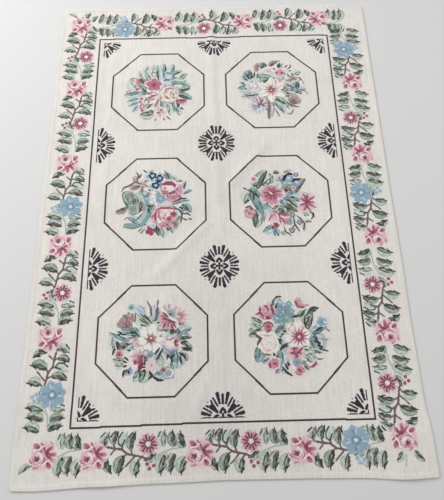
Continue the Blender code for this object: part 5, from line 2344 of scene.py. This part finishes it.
@dataclass(frozen=True)
class WoolTone:
    """Wool colour with uneven dye, a slight soil, painted shade between the stitches and painted
    shade along the rug's middle line.

    Attributes:
        streaks: Scale of the dye's light and dark streaks across, along and up.
        tints: Scale of its tints in the same way.
        tint_span: Mix of the two tints where their noise is lowest and highest.
        warm: The one tint.
        cool: The other tint.
        soil: Scale and detail of the soil, and the levels that it spans.
        patches: The same for patches of wear.
        mottle: The same for the fine mottling.
        lot: The levels that single stitches span.
        shade: The levels from between the stitches to their tops.
        shade_band_width: How fast the painted shade along the rug's middle line fades to the sides.
        shade_band_along: How the painted shade grows towards the near end, and its level in the
            middle.
    """

    streaks: Place = (150.0, 9.0, 1.0)
    tints: Place = (90.0, 6.0, 1.0)
    tint_span: Point = (-0.6, 1.6)
    warm: Row = (1.0, 0.955, 0.950, 1.0)
    cool: Row = (0.955, 0.990, 0.950, 1.0)
    soil: Row = (3.2, 4.0, 0.91, 1.07)
    patches: Row = (15.0, 3.0, 0.93, 1.06)
    mottle: Row = (210.0, 3.0, 0.84, 1.14)
    lot: Point = (0.93, 1.06)
    shade: Point = (0.86, 1.06)
    shade_band_width: float = 2.2
    shade_band_along: Point = (-0.05, 0.055)

    def build(self) -> None:
        """Build the group, with the finished colour."""
        group = NodeGroup("wool_tone")
        bench = group.bench
        colour = group.entry("Colour", "Color")
        place = group.entry("Place", "Vector")
        height = group.entry("Height", "Float")
        lot = group.entry("Lot", "Float")
        streakiness = group.entry("Streakiness", "Float", 0.5)
        streaks = bench.noise(bench.vector("MULTIPLY", place, self.streaks), 1.0, 2.0)
        tint = bench.noise(bench.vector("MULTIPLY", place, self.tints), 1.0, 1.0)
        tints = bench.mix(bench.span(tint, *self.tint_span), self.warm, self.cool)
        tinted = bench.mix(streakiness, colour, tints, "MULTIPLY")
        low = bench.math("MULTIPLY_ADD", streakiness, -0.20, 1.0)
        high = bench.math("MULTIPLY_ADD", streakiness, 0.15, 1.0)
        level = bench.span(streaks, low, high)
        for value, span in (
            (bench.noise(place, *self.soil[:2]), self.soil[2:]),
            (bench.noise(place, *self.patches[:2]), self.patches[2:]),
            (lot, self.lot),
            (height, self.shade),
            (bench.noise(place, *self.mottle[:2]), self.mottle[2:]),
        ):
            level = bench.math("MULTIPLY", level, bench.span(value, *span))
        # Painted shade: the wool is darker along the rug's middle line, most towards the near end
        x, y, _ = bench.axes(place)
        aside = bench.math("MULTIPLY", bench.math("ABSOLUTE", x), self.shade_band_width)
        in_shade_band = bench.math("SUBTRACT", 1.0, bench.math("MINIMUM", aside, 1.0))
        nearer = bench.math("MULTIPLY_ADD", y, *self.shade_band_along)
        painted_shade = bench.math("MULTIPLY", in_shade_band, bench.math("MAXIMUM", nearer, 0.0))
        level = bench.math("MULTIPLY", level, bench.math("SUBTRACT", 1.0, painted_shade))
        grey = bench.feed_all(bench.add("ShaderNodeCombineXYZ"), (level, level, level))
        group.result("Colour", "Color", bench.mix(1.0, tinted, grey, "MULTIPLY"))


@dataclass(frozen=True)
class WoolFuzz:
    """Loose fibres over the stitches: a fine relief and an uneven roughness.

    Attributes:
        scale: Scale of the fibres.
        roughness: The roughness that they span.
    """

    scale: float = 2600.0
    roughness: Point = (0.86, 1.0)

    def build(self) -> None:
        """Build the group, with the fuzzy height and the roughness."""
        group = NodeGroup("wool_fuzz")
        bench = group.bench
        place = group.entry("Place", "Vector")
        height = group.entry("Height", "Float")
        fuzziness = group.entry("Fuzziness", "Float", 0.25)
        fibres = bench.noise(place, self.scale, 3.0)
        relief = bench.math("MULTIPLY_ADD", fibres, fuzziness, height)
        group.result("Height", "Float", relief)
        group.result("Roughness", "Float", bench.span(fibres, *self.roughness))


@dataclass(frozen=True)
class WoolFinish:
    """A surface of stitched wool.

    Attributes:
        name: The material's name.
        colour: Its sRGB colour, or nothing where each stitch has its own.
        streakiness: How strong the uneven dye is.
        relief: Depth of the stitches, in metres.
        unevenness: How far the stitches wander, in metres.
        fuzziness: How strong the fibres' relief is.
        sheen: Strength of the soft sheen.
        sheen_roughness: How soft the sheen is.
        bump: Strength of the relief.
        specular: Level of the plain gloss.
    """

    name: str
    colour: str | None
    streakiness: float
    relief: float
    unevenness: float = 0.0004
    fuzziness: float = 0.25
    sheen: float = 0.12
    sheen_roughness: float = 0.6
    bump: float = 0.8
    specular: float = 0.2

    def build(self) -> bpy.types.Material:
        """Build the material.

        Returns:
            The material.
        """
        material = bpy.data.materials.new(self.name)
        material.use_nodes = True
        bench = NodeBench(material.node_tree)
        shader = material.node_tree.nodes["Principled BSDF"]
        place = bench.add("ShaderNodeTexCoord").outputs["Object"]
        stitches = self.place_group(bench, "tent_stitch", Place=place, Unevenness=self.unevenness)
        if self.colour is None:
            reader = bench.add("ShaderNodeAttribute", attribute_name=YARN_COLOUR)
            colour: Wire = reader.outputs["Color"]
        else:
            colour = linear_colour(self.colour)
        tone = self.place_group(
            bench,
            "wool_tone",
            Colour=colour,
            Place=place,
            Height=stitches.outputs["Height"],
            Lot=stitches.outputs["Lot"],
            Streakiness=self.streakiness,
        )
        fuzz = self.place_group(
            bench,
            "wool_fuzz",
            Place=place,
            Height=stitches.outputs["Height"],
            Fuzziness=self.fuzziness,
        )
        bump = bench.add("ShaderNodeBump")
        bump.inputs["Distance"].default_value = self.relief
        bump.inputs["Strength"].default_value = self.bump
        bench.feed(bump.inputs["Height"], fuzz.outputs["Height"])
        bench.feed(shader.inputs["Base Color"], tone.outputs["Colour"])
        bench.feed(shader.inputs["Roughness"], fuzz.outputs["Roughness"])
        bench.feed(shader.inputs["Normal"], bump.outputs["Normal"])
        shader.inputs["Specular IOR Level"].default_value = self.specular
        shader.inputs["Sheen Weight"].default_value = self.sheen
        shader.inputs["Sheen Roughness"].default_value = self.sheen_roughness
        return material

    def place_group(self, bench: NodeBench, name: str, **inputs: Wire) -> bpy.types.Node:
        """Place a shared group in the material with its own values.

        Args:
            bench: The material's bench.
            name: The group's name.
            inputs: A socket or a value for each named input.

        Returns:
            The group's node.
        """
        node = bench.add("ShaderNodeGroup", node_tree=bpy.data.node_groups[name])
        for socket, value in inputs.items():
            bench.feed(node.inputs[socket], value)
        return node


GROUND_WOOL = WoolFinish("ground_wool", "e9e5e1", 0.75, 0.0008)
MOTIF_WOOL = WoolFinish("motif_wool", None, 0.35, 0.0008)
LINE_WOOL = WoolFinish("line_wool", None, 0.25, 0.0007)
BACK_CANVAS = WoolFinish("back_canvas", "d6cab4", 0.35, 0.0009, 0.0007, 0.40, 0.05)


@dataclass(frozen=True)
class SoftLamp:
    """A square lamp that looks at the rug's middle.

    Attributes:
        name: The lamp's name.
        place: Its place in metres.
        size: Side of the square in metres.
        watts: Its power.
    """

    name: str
    place: Place
    size: float
    watts: float

    def build(self) -> None:
        """Build the lamp."""
        data = bpy.data.lights.new(self.name, "AREA")
        data.size = self.size
        data.energy = self.watts
        lamp = bpy.data.objects.new(self.name, data)
        lamp.location = self.place
        lamp.rotation_euler = (-Vector(self.place)).to_track_quat("-Z", "Y").to_euler()
        bpy.context.collection.objects.link(lamp)


@dataclass(frozen=True)
class Studio:
    """A pale floor, soft light from the far left and the camera.

    Attributes:
        camera_place: The camera's place in metres.
        camera_turn: Its turns about x, y and z in degrees.
        focal: Focal length in millimetres.
        film_width: Width of the camera's frame in millimetres.
        floor_size: Side of the floor in metres.
        floor_height: Height of the floor in metres, just under the rug.
        floor_colour: The floor's colour.
        floor_roughness: Its roughness.
        sky_colour: Colour of the sky light.
        sky_strength: Its strength.
        lamps: The soft lamps.
    """

    camera_place: Place = (-0.0042, -0.9127, 1.8288)
    camera_turn: Place = (21.43, 0.08, -1.44)
    focal: float = 37.36
    film_width: float = 36.0
    floor_size: float = 14.0
    floor_height: float = -0.0005
    floor_colour: Row = (0.58, 0.58, 0.58, 1.0)
    floor_roughness: float = 0.9
    sky_colour: Row = (1.0, 0.99, 0.98, 1.0)
    sky_strength: float = 0.61
    lamps: tuple[SoftLamp, ...] = (
        SoftLamp("key_lamp", (-2.7, 1.8, 2.5), 2.0, 116.0),
        SoftLamp("fill_lamp", (2.4, 0.6, 3.0), 3.0, 36.0),
    )

    def build_floor(self) -> bpy.types.Object:
        """Build the floor, just under the rug.

        Returns:
            The floor.
        """
        half = 0.5 * self.floor_size
        corners = ((-half, -half), (half, -half), (half, half), (-half, half))
        points = np.array([(*corner, self.floor_height) for corner in corners])
        floor = new_piece("studio_floor", points, np.array(((0, 1, 2, 3),)))
        material = bpy.data.materials.new("studio_grey")
        material.use_nodes = True
        shader = material.node_tree.nodes["Principled BSDF"]
        shader.inputs["Base Color"].default_value = self.floor_colour
        shader.inputs["Roughness"].default_value = self.floor_roughness
        floor.data.materials.append(material)
        return floor

    def build_lights(self) -> None:
        """Build the sky light and the two soft lamps."""
        world = bpy.data.worlds.new("studio_sky")
        world.use_nodes = True
        background = world.node_tree.nodes["Background"]
        background.inputs["Color"].default_value = self.sky_colour
        background.inputs["Strength"].default_value = self.sky_strength
        bpy.context.scene.world = world
        bpy.context.scene.view_settings.view_transform = "Standard"
        for lamp in self.lamps:
            lamp.build()

    def build_camera(self) -> None:
        """Build the camera at the photograph's viewing angle."""
        data = bpy.data.cameras.new("camera")
        data.lens = self.focal
        data.sensor_width = self.film_width
        camera = bpy.data.objects.new("camera", data)
        camera.location = self.camera_place
        camera.rotation_euler = tuple(math.radians(turn) for turn in self.camera_turn)
        bpy.context.collection.objects.link(camera)
        bpy.context.scene.camera = camera


@dataclass(frozen=True)
class NeedlepointRug:
    """The rug: its cloth and all the stitching on it.

    Attributes:
        margin: Reach of a bouquet's chart to each side, in millimetres.
        border: Left, near, right and far sides of the border's charts.
        field: The same for the field inside it.
        vine_bands: How many bands a vine's flat map is folded into.
        lines_seed: Seed of the lines' chart.
        medallions_seed: Seed of the medallions' chart.
    """

    margin: float = 156.0
    border: tuple[float, float, float, float] = (-686.0, -1000.0, 686.0, 1003.0)
    field: tuple[float, float, float, float] = (-514.1, -826.8, 514.1, 839.5)
    vine_bands: int = 3
    lines_seed: int = 5
    medallions_seed: int = 6

    def charts(self) -> list[StitchedPiece]:
        """Work every chart.

        Returns:
            The stitched pieces, ready to build.
        """
        left, near, right, far = self.border
        inner_left, inner_near, inner_right, inner_far = self.field
        windows = (
            ("vine_left", (left, inner_near), (inner_left, far), True),
            ("vine_near", (left, near), (inner_right, inner_near), False),
            ("vine_right", (inner_right, near), (right, inner_far), True),
            ("vine_far", (inner_left, inner_far), (right, far), False),
        )
        pieces = []
        for number, (name, low, high, upright) in enumerate(windows):
            chart = StitchChart(low, high, number)
            stitch_vine(chart)
            pieces.append(StitchedPiece(name, chart, self.vine_bands, upright))
        ruled = StitchChart(self.field[:2], self.field[2:], self.lines_seed)
        PANEL.stitch_lines(ruled)
        pieces.append(StitchedPiece("panel_lines", ruled))
        for (name, motifs), centre in zip(BOUQUETS, PANEL.centres()):
            low = (centre[0] - self.margin, centre[1] - self.margin)
            high = (centre[0] + self.margin, centre[1] + self.margin)
            chart = StitchChart(low, high, len(pieces))
            work(motifs, Placing(chart, centre))
            pieces.append(StitchedPiece(name, chart))
        medallions = StitchChart(PANEL.cut[:2], PANEL.cut[2:], self.medallions_seed)
        PANEL.stitch_medallions(medallions)
        pieces.append(StitchedPiece("medallions", medallions))
        return pieces

    def build(self) -> None:
        """Build, dress and declare every piece."""
        for group in (TentStitch(), WoolTone(), WoolFuzz()):
            group.build()
        ground = GROUND_WOOL.build()
        motif = MOTIF_WOOL.build()
        line = LINE_WOOL.build()
        for stitched in self.charts():
            piece = stitched.build()
            ruled = stitched.name in ("panel_lines", "medallions")
            piece.data.materials.append(line if ruled else motif)
            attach(piece, "root")
            LOG.info("%s: %d stitches", piece.name, len(piece.data.polygons))
        cloth = Cloth()
        sheet = cloth.build()
        sheet.data.materials.append(ground)
        sheet.data.materials.append(BACK_CANVAS.build())
        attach(sheet, "root")
        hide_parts("rug")
        LOG.info("%s: %d faces", sheet.name, len(sheet.data.polygons))


def main() -> None:
    """Build the rug and the studio."""
    logging.basicConfig(level=logging.INFO, format="%(name)s: %(message)s")
    NeedlepointRug().build()
    studio = Studio()
    studio.build_floor()
    studio.build_lights()
    studio.build_camera()


if __name__ == "__main__":
    main()
